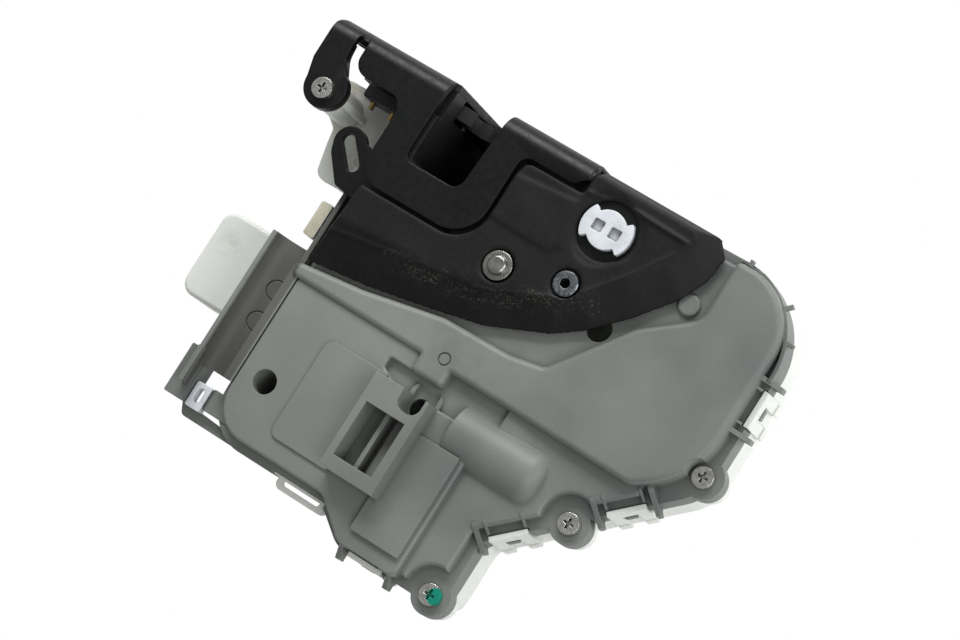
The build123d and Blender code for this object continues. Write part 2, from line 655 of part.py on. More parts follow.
seal_top = deck_top + seal_t + 0.2
with BuildPart() as latch_seal:
    seal_body(lip_points, top_points, seal_lip_z, seal_top)
    # hollow underneath
    with BuildPart(mode=Mode.PRIVATE) as seal_core:
        low = [(x * 0.975 + 0.8, y + 2.4) for x, y in lip_points[:10]]
        low += [(87.0, -2.4), (44.0, -2.4), (-24.0, -30.0)]
        high = [(x * 0.975 + 0.9, y + 1.8) for x, y in top_points[:10]]
        high += [(81.0, -3.4), (44.0, -3.4), (-24.0, -30.0)]
        seal_body(low, high, seal_lip_z - 0.5, deck_top + 0.2)
    add(seal_core.part, mode=Mode.SUBTRACT)
    with BuildSketch(Plane.XY.offset(deck_under - 0.5)):
        outline(deck_points, deck_radii)
        offset(amount=0.35)
    extrude(amount=deck_t + 0.6, mode=Mode.SUBTRACT)
    # frame round the visible flange
    with BuildSketch(Plane.XY.offset(seal_lip_z - 2)):
        outline([(-60.0, 5.0), (-60.0, -42.2 - seal_gap), (21.2 + seal_gap, -42.2 - seal_gap),
                 (21.2 + seal_gap, -9.7 - seal_gap), (plate_right + 0.6, -9.7 - seal_gap),
                 (plate_right + 0.6, 5.0)],
                [0.0, 0.0, 12.5, 3.0, 0.0, 0.0])
        with Locations(cam_xy):
            Circle(cam_r + 0.9)
        with Locations(lever_pivot):
            Circle(5.3)
        with Locations(bush_xy):
            Circle(bush_r + 0.5)
    extrude(amount=12, mode=Mode.SUBTRACT)
    # open to the left, where the release lever swings out
    with BuildSketch(Plane.XY.offset(seal_lip_z - 1)):
        with Locations((case_left + 5.0, lever_pivot[1] - 4.3)):
            Rectangle(26.0, 29.6)
    extrude(amount=deck_under + 0.3 - seal_lip_z + 1, mode=Mode.SUBTRACT)
save(latch_seal, "latch_seal")

# ---- grey cover -----------------------------------------------------------------------------
diagonal_dir = math.degrees(math.atan2(case_diagonal[1][1] - case_diagonal[0][1],
                                       case_diagonal[1][0] - case_diagonal[0][0])) + 180.0


def on_diagonal(distance):
    # point on the slanting edge, at a distance from its upper end
    return polar(case_diagonal[0], distance, diagonal_dir + 180.0)


clip_places = [          # point on the edge, direction outwards, sides with a thick gusset
    ((case_right, -40.0), 0.0, (-1, 1)),
    (on_diagonal(24.2), diagonal_dir - 90.0, (-1, 1)),
    (on_diagonal(62.0), diagonal_dir - 90.0, (-1,)),
    ((44.4, case_bottom), -90.0, (-1, 1)),
]
strap_w = 12.6           # snap hook's strap
strap_out = (-0.8, 0.9)  # its inner and outer faces from the case's edge
strap_notch = 13.4       # width of the cover's notch that takes it
notch_in = -1.2
hook_top = 37.0
hook_low = 18.0
catch_z = (28.8, 31.6)   # catch on the cover that holds the strap
catch_w = 3.6
rib_along = 5.95         # from a clip's middle to its thin ribs
gusset_along = 9.2       # to its thick gussets
frame_x = (19.2, 39.5)
frame_y = (-124.7, -90.9)
frame_z = 51.0
window_x = (21.6, 36.4)
window_y = (-119.8, -100.5)
trough_r = 6.5
trough_x = -31.5
trough_y = (-117.8, -69.6)
trough_z = 43.0
bulge_r = motor_r + wall_t + 0.2
bulge_right = motor_left + motor_len + motor_cap_len + 2.4


def beside(place, along, out):
    # point beside a clip: along the edge, and outwards from it
    (x, y), turn, _ = place
    a = math.radians(turn)
    return (x + out * math.cos(a) - along * math.sin(a), y + out * math.sin(a) + along * math.cos(a))


def clip_box(place, along, out, length, low, high, mode=Mode.ADD):
    # upright box beside a clip, between two distances from the edge
    with BuildSketch(Plane.XY.offset(low)) as base:
        with Locations(Location((*beside(place, along, (out[0] + out[1]) / 2), 0), (0, 0, place[1]))):
            Rectangle(out[1] - out[0], length)
    extrude(base.sketch, amount=high - low, mode=mode)


def gusset(place, along, thick, profile):
    # upright rib across the edge, profile as (out, z)
    a = math.radians(place[1])
    side = Plane(origin=(*beside(place, along - thick / 2, 0.0), 0), x_dir=(math.cos(a), math.sin(a), 0),
                 z_dir=(math.sin(a), -math.cos(a), 0))
    with BuildSketch(side) as rib:
        with BuildLine() as line:
            Polyline(*profile, close=True)
        make_face(line.edges())
    extrude(rib.sketch, amount=-thick)


with BuildPart() as front_cover:
    with BuildSketch(Plane.XY.offset(split_z)):
        case_outline()
    extrude(amount=rim_z - split_z)
    with BuildSketch(Plane.XY.offset(boss_bottom)):
        with Locations(*boss_xy):
            Circle(boss_r)
    extrude(amount=rim_z - boss_bottom)
    with BuildPart(mode=Mode.PRIVATE) as roof:
        with BuildSketch(Plane.XY.offset(rim_z)):
            lower_roof()
        extrude(amount=low_z - rim_z)
        fillet(roof.edges().group_by(Axis.Z)[-1], 1.2)
    add(roof.part)
    with BuildPart(mode=Mode.PRIVATE) as panel:
        with BuildSketch(Plane.XY.offset(rim_z)):
            left_panel()
        extrude(amount=panel_z - rim_z)
        fillet(panel.edges().group_by(Axis.Z)[-1], 0.8)
    add(panel.part)
    with BuildPart(mode=Mode.PRIVATE) as plateau:
        with BuildSketch(Plane.XY.offset(rim_z)):
            plateau_outline()
        extrude(amount=plateau_z - rim_z)
        fillet(plateau.edges().group_by(Axis.Z)[-1], 2.0)
    add(plateau.part)
    # low wedge between the plateau's edge and the motor bulge
    with BuildSketch(Plane.XZ.offset(79.4)):
        with BuildLine():
            Polyline((59.8, rim_z), (59.8, low_z + 1.6), (80.0, low_z), (80.0, rim_z), close=True)
        make_face()
    extrude(amount=8.6)
    # motor bulge, half round along X with a rounded end
    with BuildPart(mode=Mode.PRIVATE) as bulge:
        with BuildSketch(Plane.YZ.offset(47.0)):
            with Locations((motor_y, motor_z)):
                Circle(bulge_r)
        extrude(amount=bulge_right - 47.0)
        fillet(bulge.edges().filter_by(GeomType.CIRCLE).sort_by(Axis.X)[-1], 5.5)
        with BuildSketch(Plane.XY.offset(motor_z)):
            with Locations((65.0, motor_y)):
                Rectangle(50.0, 30.0)
        extrude(amount=-bulge_r - 1, mode=Mode.SUBTRACT)
    add(bulge.part)
    # raised pads and the frame round the window
    with BuildSketch(Plane.XY.offset(panel_z)):
        outline([(-3.4, -89.8), (-3.4, -125.4), (20.0, -125.4), (20.0, -89.8)], [3.0, 3.0, 0.0, 0.0])
    extrude(amount=0.7)
    with BuildSketch(Plane.XY.offset(panel_z)):
        outline([(38.0, -100.4), (38.0, frame_y[0]), (36.6, frame_y[0]), (36.6, -136.6), (55.0, -136.6),
                 (55.0, -100.4)], [0.0, 0.0, 0.4, 1.0, 0.5, 0.0])
    extrude(amount=1.3)
    with BuildSketch(Plane.XY.offset(rim_z)):
        with Locations(((frame_x[0] + frame_x[1]) / 2, (frame_y[0] + frame_y[1]) / 2)):
            Rectangle(frame_x[1] - frame_x[0], frame_y[1] - frame_y[0])
    extrude(amount=frame_z - rim_z)
    # rim wall beyond the plateau, with three bridges across the narrow moat
    with BuildSketch(Plane.XY.offset(rim_z)):
        case_outline()
        with BuildSketch(mode=Mode.PRIVATE) as inner_rim:
            case_outline(rim_wall_t)
        add(inner_rim.sketch, mode=Mode.SUBTRACT)
        with Locations((111.0, case_inner_edge - 14.0)):
            Rectangle(30.0, 28.0, mode=Mode.INTERSECT)
    extrude(amount=rim_wall_h)
    with BuildSketch(Plane.XY.offset(rim_z)):
        for bridge, turn in (((99.2, -2.9), 90.0), ((116.6, -8.4), 45.0), ((122.9, -17.9), 0.0)):
            with Locations(Location((*bridge, 0), (0, 0, turn))):
                Rectangle(3.6, 1.2)
    extrude(amount=rim_wall_h - 0.8)

    # hollow inside
    with BuildSketch(Plane.XY.offset(split_z - 1)):
        case_outline(wall_t + 0.2)
        with Locations(*boss_xy):
            Circle(boss_r, mode=Mode.SUBTRACT)
    extrude(amount=rim_z - wall_t - split_z + 1, mode=Mode.SUBTRACT)
    with BuildSketch(Plane.XY.offset(rim_z - wall_t - 0.5)):
        lower_roof(wall_t + 1.0)
    extrude(amount=low_z - rim_z + wall_t + 0.5 - low_roof_t, mode=Mode.SUBTRACT)
    with BuildSketch(Plane.XY.offset(rim_z - wall_t - 0.5)):
        left_panel(wall_t)
    extrude(amount=panel_z - rim_z + 0.5, mode=Mode.SUBTRACT)
    with BuildSketch(Plane.XY.offset(rim_z - wall_t - 0.5)):
        plateau_outline(wall_t)
    extrude(amount=plateau_z - rim_z + 0.5, mode=Mode.SUBTRACT)
    with BuildSketch(Plane.YZ.offset(49.0)):
        with Locations((motor_y, motor_z)):
            Circle(motor_r + 0.3)
    extrude(amount=bulge_right - 2.0 - 49.0, mode=Mode.SUBTRACT)
    with BuildSketch(Plane.XY.offset(rim_z)):
        with Locations(((frame_x[0] + frame_x[1]) / 2, (frame_y[0] + frame_y[1]) / 2)):
            Rectangle(frame_x[1] - frame_x[0] - 3.0, frame_y[1] - frame_y[0] - 3.0)
        with Locations(((window_x[0] + window_x[1]) / 2, (window_y[0] + window_y[1]) / 2)):
            Rectangle(window_x[1] - window_x[0] + 3.0, window_y[1] - window_y[0] + 3.0, mode=Mode.SUBTRACT)
        with Locations((34.1, frame_y[1] - 2.0)):
            RectangleRounded(11.6, 12.6, 4.0, mode=Mode.SUBTRACT)
    extrude(amount=frame_z - 1.6 - rim_z, mode=Mode.SUBTRACT)

    # window with a stepped floor and a rib, and the notch above it
    with BuildSketch(Plane.XY.offset(low_z - 1.2)):
        with Locations(((window_x[0] + window_x[1]) / 2, (window_y[0] + window_y[1]) / 2)):
            Rectangle(window_x[1] - window_x[0] + 3.0, window_y[1] - window_y[0] + 3.0)
        with Locations((34.1, frame_y[1] - 1.6)):
            RectangleRounded(11.4, 13.0, 4.0)
    extrude(amount=panel_z - 1.0 - low_z + 1.2)
    with BuildSketch(Plane.XY.offset(low_z)):
        with Locations(((window_x[0] + window_x[1]) / 2, (window_y[0] + window_y[1]) / 2)):
            Rectangle(window_x[1] - window_x[0], window_y[1] - window_y[0])
        with Locations((34.1, frame_y[1] - 1.6)):
            RectangleRounded(8.4, 10.0, 3.4)
        with Locations((34.1, frame_y[1] + 2.4)):
            Rectangle(8.4, 6.0)
    extrude(amount=frame_z, mode=Mode.SUBTRACT)
    for rib_x, rib_w, rib_h in ((28.4, 1.5, 6.0), (33.6, 5.6, 2.6)):
        with BuildSketch(Plane.XY.offset(low_z)):
            with Locations((rib_x, (window_y[0] + window_y[1]) / 2)):
                Rectangle(rib_w, window_y[1] - window_y[0])
        extrude(amount=rib_h)
    with BuildSketch(Plane.XY.offset(low_z - wall_t - 1)):
        with Locations((34.0, -94.0)):
            Circle(3.6)
        with Locations((69.6, -43.6)):
            Circle(4.2)
        with Locations(cam_xy):
            Circle(cam_stem_r + 0.5)
    extrude(amount=wall_t + 6, mode=Mode.SUBTRACT)

    # tube for the deep screw
    with BuildSketch(Plane.XY.offset(case_floor + wall_t + 0.1)):
        with Locations(deep_screw):
            Circle(deep_hole_r + 1.7)
    extrude(amount=panel_z - case_floor - wall_t - 0.1 - 1.0)
    with BuildSketch(Plane.XY.offset(case_floor + 8.0)):
        with Locations(deep_screw):
            Circle(deep_hole_r)
    extrude(amount=panel_z, mode=Mode.SUBTRACT)
    with BuildSketch(Plane.XY.offset(case_floor)):
        with Locations(deep_screw):
            Circle(screw_shank_r + 0.3)
        with Locations(*boss_xy):
            Circle(screw_shank_r + 0.3)
    extrude(amount=plateau_z, mode=Mode.SUBTRACT)

    # room for the screw heads beside the plateau
    with BuildSketch(Plane.XY.offset(rim_z)):
        with Locations(*boss_xy):
            Circle(screw_head_r + 0.9)
    extrude(amount=plateau_z, mode=Mode.SUBTRACT)
    # small features on the roof: ejector mark and a domed pad
    with BuildSketch(Plane.XY.offset(plateau_z - 0.5)):
        with Locations((33.4, -76.6)):
            Circle(2.2)
            Circle(1.7, mode=Mode.SUBTRACT)
    extrude(amount=1.0, mode=Mode.SUBTRACT)
    with BuildPart(mode=Mode.PRIVATE) as round_pad:
        with BuildSketch(Plane.XY.offset(low_z - 0.2)):
            with Locations((90.3, -23.2)):
                Circle(3.7)
        extrude(amount=1.6)
        fillet(round_pad.edges().group_by(Axis.Z)[-1], 1.0)
    add(round_pad.part)
    # pale wall along the left edge, above the flange
    with BuildSketch(Plane.XY.offset(rim_z - 0.5)):
        with Locations((case_left + 0.8, -61.0)):
            Rectangle(1.6, 30.0)
    extrude(amount=5.5)
    # notch for the tub's upstand behind the wire loop
    with BuildSketch(Plane.XY.offset(split_z - 1)):
        with Locations(((upstand_x[0] + upstand_x[1]) / 2, step_bottom)):
            Rectangle(upstand_x[1] - upstand_x[0] + 0.4, 2 * (upstand_in + 0.1))
    extrude(amount=rim_z, mode=Mode.SUBTRACT)

    with BuildSketch(Plane.XY.offset(loop_z[0] - 0.3)):
        with Locations((14.0, step_bottom - 2.0)):
            Rectangle(20.0, 3.8)
    extrude(amount=loop_z[1] - loop_z[0] + 0.6, mode=Mode.SUBTRACT)

    # notches, catches and ribs of the snap hooks
    for place in clip_places:
        clip_box(place, 0.0, (notch_in, 6.0), strap_notch, split_z - 1, plateau_z, mode=Mode.SUBTRACT)
        clip_box(place, 0.0, (notch_in - 0.3, strap_out[1] + 0.3), catch_w, *catch_z)
        for side in (-1, 1):
            gusset(place, side * rib_along, 0.9,
                   [(-5.4, low_z + 0.4), (-4.4, low_z + 0.4), (notch_in - 0.1, rim_z + 1.2),
                    (notch_in - 0.1, rim_z - 0.5), (-5.4, rim_z - 0.5)])
        for side in place[2]:
            gusset(place, side * gusset_along, 1.6,
                   [(-5.4, low_z + 0.8), (-4.2, low_z + 0.8), (0.8, rim_z + 0.8), (3.4, rim_z - 1.0),
                    (3.4, 31.0), (1.2, 31.0), (-0.6, 28.6), (-0.6, rim_z - 0.8), (-5.4, rim_z - 0.8)])

    # cable trough along the left side: half pipe, end lip, bracket block and tab
    with BuildSketch(Plane.XZ.offset(-trough_y[1])):
        with Locations((trough_x, trough_z)):
            Circle(trough_r + 1.8)
            Circle(trough_r, mode=Mode.SUBTRACT)
        with Locations((trough_x, trough_z + 10.0)):
            Rectangle(30.0, 20.0, mode=Mode.SUBTRACT)
        with Locations((trough_x + 10.0, trough_z)):
            Rectangle(8.0, 30.0, mode=Mode.SUBTRACT)
    extrude(amount=trough_y[1] - trough_y[0])
    with BuildSketch(Plane.XY.offset(rim_z - wall_t - 1.0)):
        with Locations((case_left + 1.3, (trough_y[0] - 75.0) / 2)):
            Rectangle(3.2, -75.0 - trough_y[0])
    extrude(amount=panel_z - rim_z + wall_t + 1.0)
    with BuildSketch(Plane.XY.offset(38.4)):
        with Locations((-38.8, -119.5)):
            Rectangle(2.6, 13.0)
    extrude(amount=trough_z - 38.4)
    with BuildSketch(Plane.XY.offset(30.0)):
        outline([(-44.2, -113.5), (-44.2, -131.2), (-36.6, -131.2), (-36.6, -113.5)], [0.6, 0.6, 0.6, 0.6])
    extrude(amount=8.6)
    with BuildSketch(Plane.XY.offset(34.0)):
        outline([(-29.9, -122.5), (-29.9, -130.2), (-14.0, -130.2), (-14.0, -122.5)], [0.5, 0.5, 0.5, 0.5])
    extrude(amount=2.4)
    with BuildSketch(Plane.XY.offset(30.0)):
        outline([(-40.0, -129.0), (-36.8, -135.0), (-12.0, -135.0), (-12.0, -132.6), (-36.0, -131.0)],
                [0.5, 2.0, 0.5, 0.5, 0.5])
    extrude(amount=3.0)
    # ejector marks inside the trough
    for mark_y in (-85.6, -97.2):
        with BuildSketch(Plane.XY.offset(trough_z - trough_r - 0.4)):
            with Locations((trough_x + 1.0, mark_y)):
                Circle(3.5)
                Circle(3.1, mode=Mode.SUBTRACT)
        extrude(amount=1.6, mode=Mode.SUBTRACT)
save(front_cover, "front_cover")

# ---- white tub --------------------------------------------------------------------------------
fit = 0.05               # radial clearance of a turning shaft in plastic
tub_inset = 0.4
floor_top = case_floor + wall_t
wing_z = (22.0, 24.5)
groove_in = (1.3, 2.1)   # seal groove in the tub's rim
groove_h = 1.2
axle_xy = (wheel_xy, lock_xy)


def gasket_ring(gap):
    # thin ring that follows the case's rim and passes inside the screws
    with BuildSketch(mode=Mode.PRIVATE) as outer_ring:
        case_outline(groove_in[0] + gap)
        with Locations(*boss_xy):
            Circle(screw_shank_r + 1.4 + gap, mode=Mode.SUBTRACT)
    with BuildSketch(mode=Mode.PRIVATE) as inner_ring:
        case_outline(groove_in[1] - gap)
        with Locations(*boss_xy):
            Circle(screw_shank_r + 2.2 - gap, mode=Mode.SUBTRACT)
    add(outer_ring.sketch - inner_ring.sketch)


with BuildPart() as rear_case:
    with BuildPart(mode=Mode.PRIVATE) as tub:
        with BuildSketch(Plane.XY.offset(case_floor)):
            case_outline(tub_inset)
        extrude(amount=split_z - case_floor)
        fillet(tub.edges().group_by(Axis.Z)[0], 1.5)
        with BuildSketch(Plane.XY.offset(floor_top)):
            case_outline(tub_inset + 2.6)
        extrude(amount=split_z, mode=Mode.SUBTRACT)
    add(tub.part)
    # screw posts, their outer halves reaching up to the cover's bosses
    with BuildSketch(Plane.XY.offset(case_floor)):
        case_outline(tub_inset + 1.0)
        with BuildSketch(mode=Mode.PRIVATE) as posts:
            with Locations(*boss_xy):
                Circle(boss_r - 0.8)
        add(posts.sketch, mode=Mode.INTERSECT)
    extrude(amount=split_z - case_floor)
    with BuildSketch(Plane.XY.offset(split_z - 4.0)):
        with Locations(*boss_xy):
            Circle(boss_r - 0.8)
    extrude(amount=4.0)
    with BuildSketch(Plane.XY.offset(split_z)):
        with Locations(*boss_xy):
            Circle(boss_r - 0.8)
        with BuildSketch(mode=Mode.PRIVATE) as cover_wall:
            case_outline(-0.1)
        add(cover_wall.sketch, mode=Mode.SUBTRACT)
    extrude(amount=boss_bottom - split_z)
    # wing behind the latch, cut out round the striker well
    with BuildSketch(Plane.XY.offset(wing_z[0])):
        outline([(-57.0, -14.2), (-54.6, -27.0), (-49.6, -30.6), (-48.7, -35.6), (-46.0, -47.0),
                 (-37.6, -46.8), (-30.0, -47.6), (-26.0, -52.0), (-20.0, -52.0), (60.0, -52.0), (60.0, -14.2)],
                [4.0, 2.0, 3.0, 2.0, 4.0, 2.0, 2.0, 2.0, 0.0, 0.0, 0.0])
        with Locations((0, -22.0)):
            Rectangle(2 * (mouth_half + housing_wall + 0.4), 22.0, mode=Mode.SUBTRACT)
        with BuildSketch(mode=Mode.PRIVATE) as tub_inside:
            case_outline(tub_inset + 1.0)
        add(tub_inside.sketch, mode=Mode.SUBTRACT)
    extrude(amount=wing_z[1] - wing_z[0])
    # boss under the latch plate's arm, and its webs
    with BuildSketch(Plane.XY.offset(wing_z[0])):
        with Locations(arm_screw):
            Circle(5.2)
        outline([(-54.5, -25.0), (-54.5, -22.4), (-41.0, -22.4), (-41.0, -25.0)], [1.0, 1.0, 1.0, 1.0])
    extrude(amount=flange_under - arm_pad_t - wing_z[0])
    with BuildSketch(Plane.XY.offset(wing_z[0] + 4.0)):
        with Locations(arm_screw):
            Circle(screw_shank_r)
    extrude(amount=flange_under, mode=Mode.SUBTRACT)
    # posts for the axles, the deep screw and the screws' pilot holes
    with BuildSketch(Plane.XY.offset(floor_top)):
        with Locations(*axle_xy):
            Circle(axle_r + 2.4)
    extrude(amount=lock_lever_z - 1.6 - floor_top)
    with BuildSketch(Plane.XY.offset(case_floor + 0.8)):
        with Locations(*axle_xy):
            Circle(axle_r)
        with Locations(deep_screw, *boss_xy):
            Circle(screw_shank_r)
    extrude(amount=boss_bottom, mode=Mode.SUBTRACT)
    # cradle ribs under the motor and the bearing of the worm's free end
    for rib_x in (motor_left + 4.0, motor_left + motor_len - 5.0):
        with BuildSketch(Plane.YZ.offset(rib_x)):
            with Locations((motor_y, (floor_top + motor_z) / 2 - 1.0)):
                Rectangle(2 * motor_r - 2.0, motor_z - 2.0 - floor_top)
            with Locations((motor_y, motor_z)):
                Circle(motor_r + 0.1, mode=Mode.SUBTRACT)
        extrude(amount=1.8)
    with BuildSketch(Plane.YZ.offset(worm_left - 3.0)):
        with Locations((motor_y, (floor_top + motor_z + 3.0) / 2)):
            Rectangle(7.0, motor_z + 3.0 - floor_top)
        with Locations((motor_y, motor_z)):
            Circle(shaft_r + fit, mode=Mode.SUBTRACT)
    extrude(amount=2.4)
    # stiffening ribs across the floor
    for rib_y in (-118.0, -126.0):
        with BuildSketch(Plane.XY.offset(floor_top)):
            with Locations((20.0, rib_y)):
                Rectangle(58.0, 1.4)
        extrude(amount=4.0)
    # snap hooks: a strap with an opening for the cover's catch, and two feet under it
    for place in clip_places:
        clip_box(place, 0.0, strap_out, strap_w, hook_low, hook_top)
        opening_w = catch_w + 1.2
        clip_box(place, 0.0, (-tub_inset + 0.1, 3.0), opening_w, hook_low - 1.0, split_z, mode=Mode.SUBTRACT)
        clip_box(place, 0.0, (notch_in, 3.0), opening_w, split_z - 0.5, catch_z[1] + 0.3, mode=Mode.SUBTRACT)
        for side in (-1, 1):
            clip_box(place, side * 4.2, (-1.2, 1.4), 3.6, hook_low, hook_low + 4.0)
    # upstand at the lower left edge, and the wire loop it carries
    with BuildSketch(Plane.XY.offset(split_z - 2.0)):
        with Locations(((upstand_x[0] + upstand_x[1]) / 2, step_bottom + (tub_inset + upstand_in) / 2)):
            Rectangle(upstand_x[1] - upstand_x[0], upstand_in - tub_inset)
    extrude(amount=loop_z[1] - split_z + 2.4)
    with BuildSketch(Plane.XY.offset(loop_z[0])):
        outline([(4.1, step_bottom + 0.7), (4.1, -138.4), (23.7, -138.4), (23.7, step_bottom - 0.4),
                 (22.4, step_bottom - 0.4), (22.4, step_bottom + 0.7)], [0.0, 2.2, 2.2, 0.4, 0.0, 0.0])
        outline([(6.0, step_bottom + 0.1), (6.0, -136.6), (20.5, -136.6), (20.5, step_bottom + 0.1)],
                [0.0, 1.0, 1.0, 0.0], mode=Mode.SUBTRACT)
    extrude(amount=loop_z[1] - loop_z[0])
    # groove for the gasket
    with BuildSketch(Plane.XY.offset(split_z - groove_h)):
        gasket_ring(0.0)
    extrude(amount=groove_h, mode=Mode.SUBTRACT)
save(rear_case, "rear_case")

with BuildPart() as gasket:
    with BuildSketch(Plane.XY.offset(split_z - groove_h)):
        gasket_ring(0.06)
    extrude(amount=groove_h)
save(gasket, "gasket")

# ---- screws ----------------------------------------------------------------------------------
def pan_screw(places, seat, length):
    # pan head with a cross recess on a plain shank, once per place
    with BuildSketch(Plane.XY.offset(seat)) as head_face:
        with Locations(*places):
            Circle(screw_head_r)
    extrude(head_face.sketch, amount=screw_head_h, taper=9.0)
    with BuildSketch(Plane.XY.offset(seat - length)) as shank_face:
        with Locations(*places):
            Circle(screw_shank_r - 0.04)
    extrude(shank_face.sketch, amount=length)
    with BuildSketch(Plane.XY.offset(seat + screw_head_h - 1.3)) as recess:
        with Locations(*places):
            Rectangle(3.6, 0.9)
            Rectangle(0.9, 3.6)
    extrude(recess.sketch, amount=2.0, mode=Mode.SUBTRACT)


with BuildPart() as cover_screws:
    pan_screw(boss_xy, rim_z, 14.0)
save(cover_screws, "cover_screws")

with BuildPart() as arm_bolt:
    pan_screw([arm_screw], flange_top, 12.0)
save(arm_bolt, "arm_bolt")

with BuildPart() as floor_screw:
    pan_screw([deep_screw], case_floor + 8.0, 6.6)
save(floor_screw, "floor_screw")

# ---- motor and gear train ----------------------------------------------------------------------
with BuildPart() as motor_can:
    with BuildSketch(Plane.YZ.offset(motor_left)):
        with Locations((motor_y, motor_z)):
            Circle(motor_r)
    extrude(amount=motor_len)
    fillet(motor_can.edges().group_by(Axis.X)[0], 1.0)
    with BuildSketch(Plane.YZ.offset(motor_left - 1)):
        with Locations((motor_y, motor_z)):
            Circle(shaft_r + fit)
    extrude(amount=9.0, mode=Mode.SUBTRACT)
save(motor_can, "motor_can")

with BuildPart() as motor_cap:
    with BuildSketch(Plane.YZ.offset(motor_left + motor_len)):
        with Locations((motor_y, motor_z)):
            Circle(motor_r - 0.4)
    extrude(amount=motor_cap_len - 0.8)
    for side in (-1, 1):
        with BuildSketch(Plane.YZ.offset(motor_left + motor_len)):
            with Locations((motor_y + side * 4.6, motor_z - 2.0)):
                Rectangle(2.6, 1.4, mode=Mode.ADD)
        extrude(amount=motor_cap_len)
save(motor_cap, "motor_cap")

with BuildPart() as motor_tabs:
    for side in (-1, 1):
        with BuildSketch(Plane.XY.offset(motor_z - motor_r - 5.0)):
            with Locations((motor_left + motor_len + motor_cap_len + 0.3, motor_y + side * 4.6)):
                Rectangle(0.6, 2.2)
        extrude(amount=motor_r + 3.0)
save(motor_tabs, "motor_tabs")


def gear_sketch(teeth, module, centre, turn=0.0, first=0, count=None, slim=0.06):
    # straight-flanked teeth on a root disc; only the listed teeth are cut
    r = teeth * module / 2
    root = r - 1.15 * module
    tip = r + 0.85 * module
    step = 360.0 / teeth
    with Locations(centre):
        Circle(root)
    for k in range(first, first + (teeth if count is None else count)):
        mid = turn + k * step
        half_root = step * 0.345
        half_pitch = step * (0.25 - slim)
        half_tip = step * 0.115
        points = [polar(centre, root - 0.3, mid - half_root), polar(centre, root, mid - half_root),
                  polar(centre, r, mid - half_pitch), polar(centre, tip, mid - half_tip),
                  polar(centre, tip, mid + half_tip), polar(centre, r, mid + half_pitch),
                  polar(centre, root, mid + half_root), polar(centre, root - 0.3, mid + half_root)]
        with BuildLine() as line:
            Polyline(*points, close=True)
        make_face(line.edges())


worm_module = worm_pitch / math.pi
wheel_low = motor_z - wheel_t / 2
pinion_low = wheel_low - lock_lever_t - 1.2
with BuildPart() as worm_wheel:
    with BuildSketch(Plane.XY.offset(wheel_low)) as wheel_face:
        gear_sketch(wheel_teeth, worm_module, wheel_xy, turn=-90.0 + 180.0 / wheel_teeth)
    extrude(wheel_face.sketch, amount=wheel_t)
    with BuildSketch(Plane.XY.offset(wheel_low)):
        with Locations(wheel_xy):
            Circle(worm_wheel_r - 3.4)
            Circle(5.0, mode=Mode.SUBTRACT)
    extrude(amount=1.6, mode=Mode.SUBTRACT)
    with BuildSketch(Plane.XY.offset(wheel_low + wheel_t)):
        with Locations(wheel_xy):
            Circle(worm_wheel_r - 3.4)
            Circle(4.0, mode=Mode.SUBTRACT)
    extrude(amount=-1.6, mode=Mode.SUBTRACT)
    with BuildSketch(Plane.XY.offset(lock_lever_z - 0.2)) as pinion_face:
        gear_sketch(pinion_teeth, drive_module, wheel_xy, turn=lock_axle_dir)
    extrude(pinion_face.sketch, amount=wheel_low - lock_lever_z + 0.4)
    with BuildSketch(Plane.XY.offset(lock_lever_z - 1.4)):
        with Locations(wheel_xy):
            Circle(axle_r + fit)
    extrude(amount=20.0, mode=Mode.SUBTRACT)
save(worm_wheel, "worm_wheel")

with BuildPart() as gear_axles:
    for axle, top in zip(axle_xy, (wheel_low + wheel_t + 0.6, lock_lever_z + lock_lever_t + 1.6)):
        with BuildSketch(Plane.XY.offset(case_floor + 0.8)):
            with Locations(axle):
                Circle(axle_r)
        extrude(amount=top - case_floor - 0.8)
save(gear_axles, "gear_axles")

lever_reach = math.dist(lock_xy, (cam_xy[0], cam_xy[1] - crank_r))
lever_dir = math.degrees(math.atan2(cam_xy[1] - crank_r - lock_xy[1], cam_xy[0] - lock_xy[0]))
with BuildPart() as lock_lever:
    with BuildSketch(Plane.XY.offset(lock_lever_z)) as lock_face:
        gear_sketch(sector_teeth, drive_module, lock_xy, turn=lock_axle_dir + 180.0 + 180.0 / sector_teeth,
                    first=-3, count=6)
        # cut the disc down to the toothed sector, then hub and arm
        back = lock_axle_dir
        fan = [lock_xy] + [polar(lock_xy, 24.0, back + k * 35.0) for k in (-4, -3, -2, -1, 0, 1, 2, 3, 4)]
        with BuildLine() as line:
            Polyline(*fan, close=True)
        make_face(line.edges(), mode=Mode.SUBTRACT)
        with Locations(lock_xy):
            Circle(axle_r + 2.4)
        arm_mid = polar(lock_xy, lever_reach / 2, lever_dir)
        with Locations(Location((arm_mid[0], arm_mid[1], 0), (0, 0, lever_dir))):
            Rectangle(lever_reach + 1.0, 6.0)
        fork_mid = polar(lock_xy, lever_reach - 0.8, lever_dir)
        with Locations(Location((fork_mid[0], fork_mid[1], 0), (0, 0, lever_dir))):
            RectangleRounded(10.4, 2 * (crank_pin_r + fork_gap) + 3.6, 1.5)
        slot_mid = polar(lock_xy, lever_reach + 3.0, lever_dir)
        with Locations(Location((slot_mid[0], slot_mid[1], 0), (0, 0, lever_dir))):
            Rectangle(13.0, 2 * (crank_pin_r + fork_gap), mode=Mode.SUBTRACT)
        with Locations(lock_xy):
            Circle(axle_r + fit, mode=Mode.SUBTRACT)
    extrude(lock_face.sketch, amount=lock_lever_t)
save(lock_lever, "lock_lever")

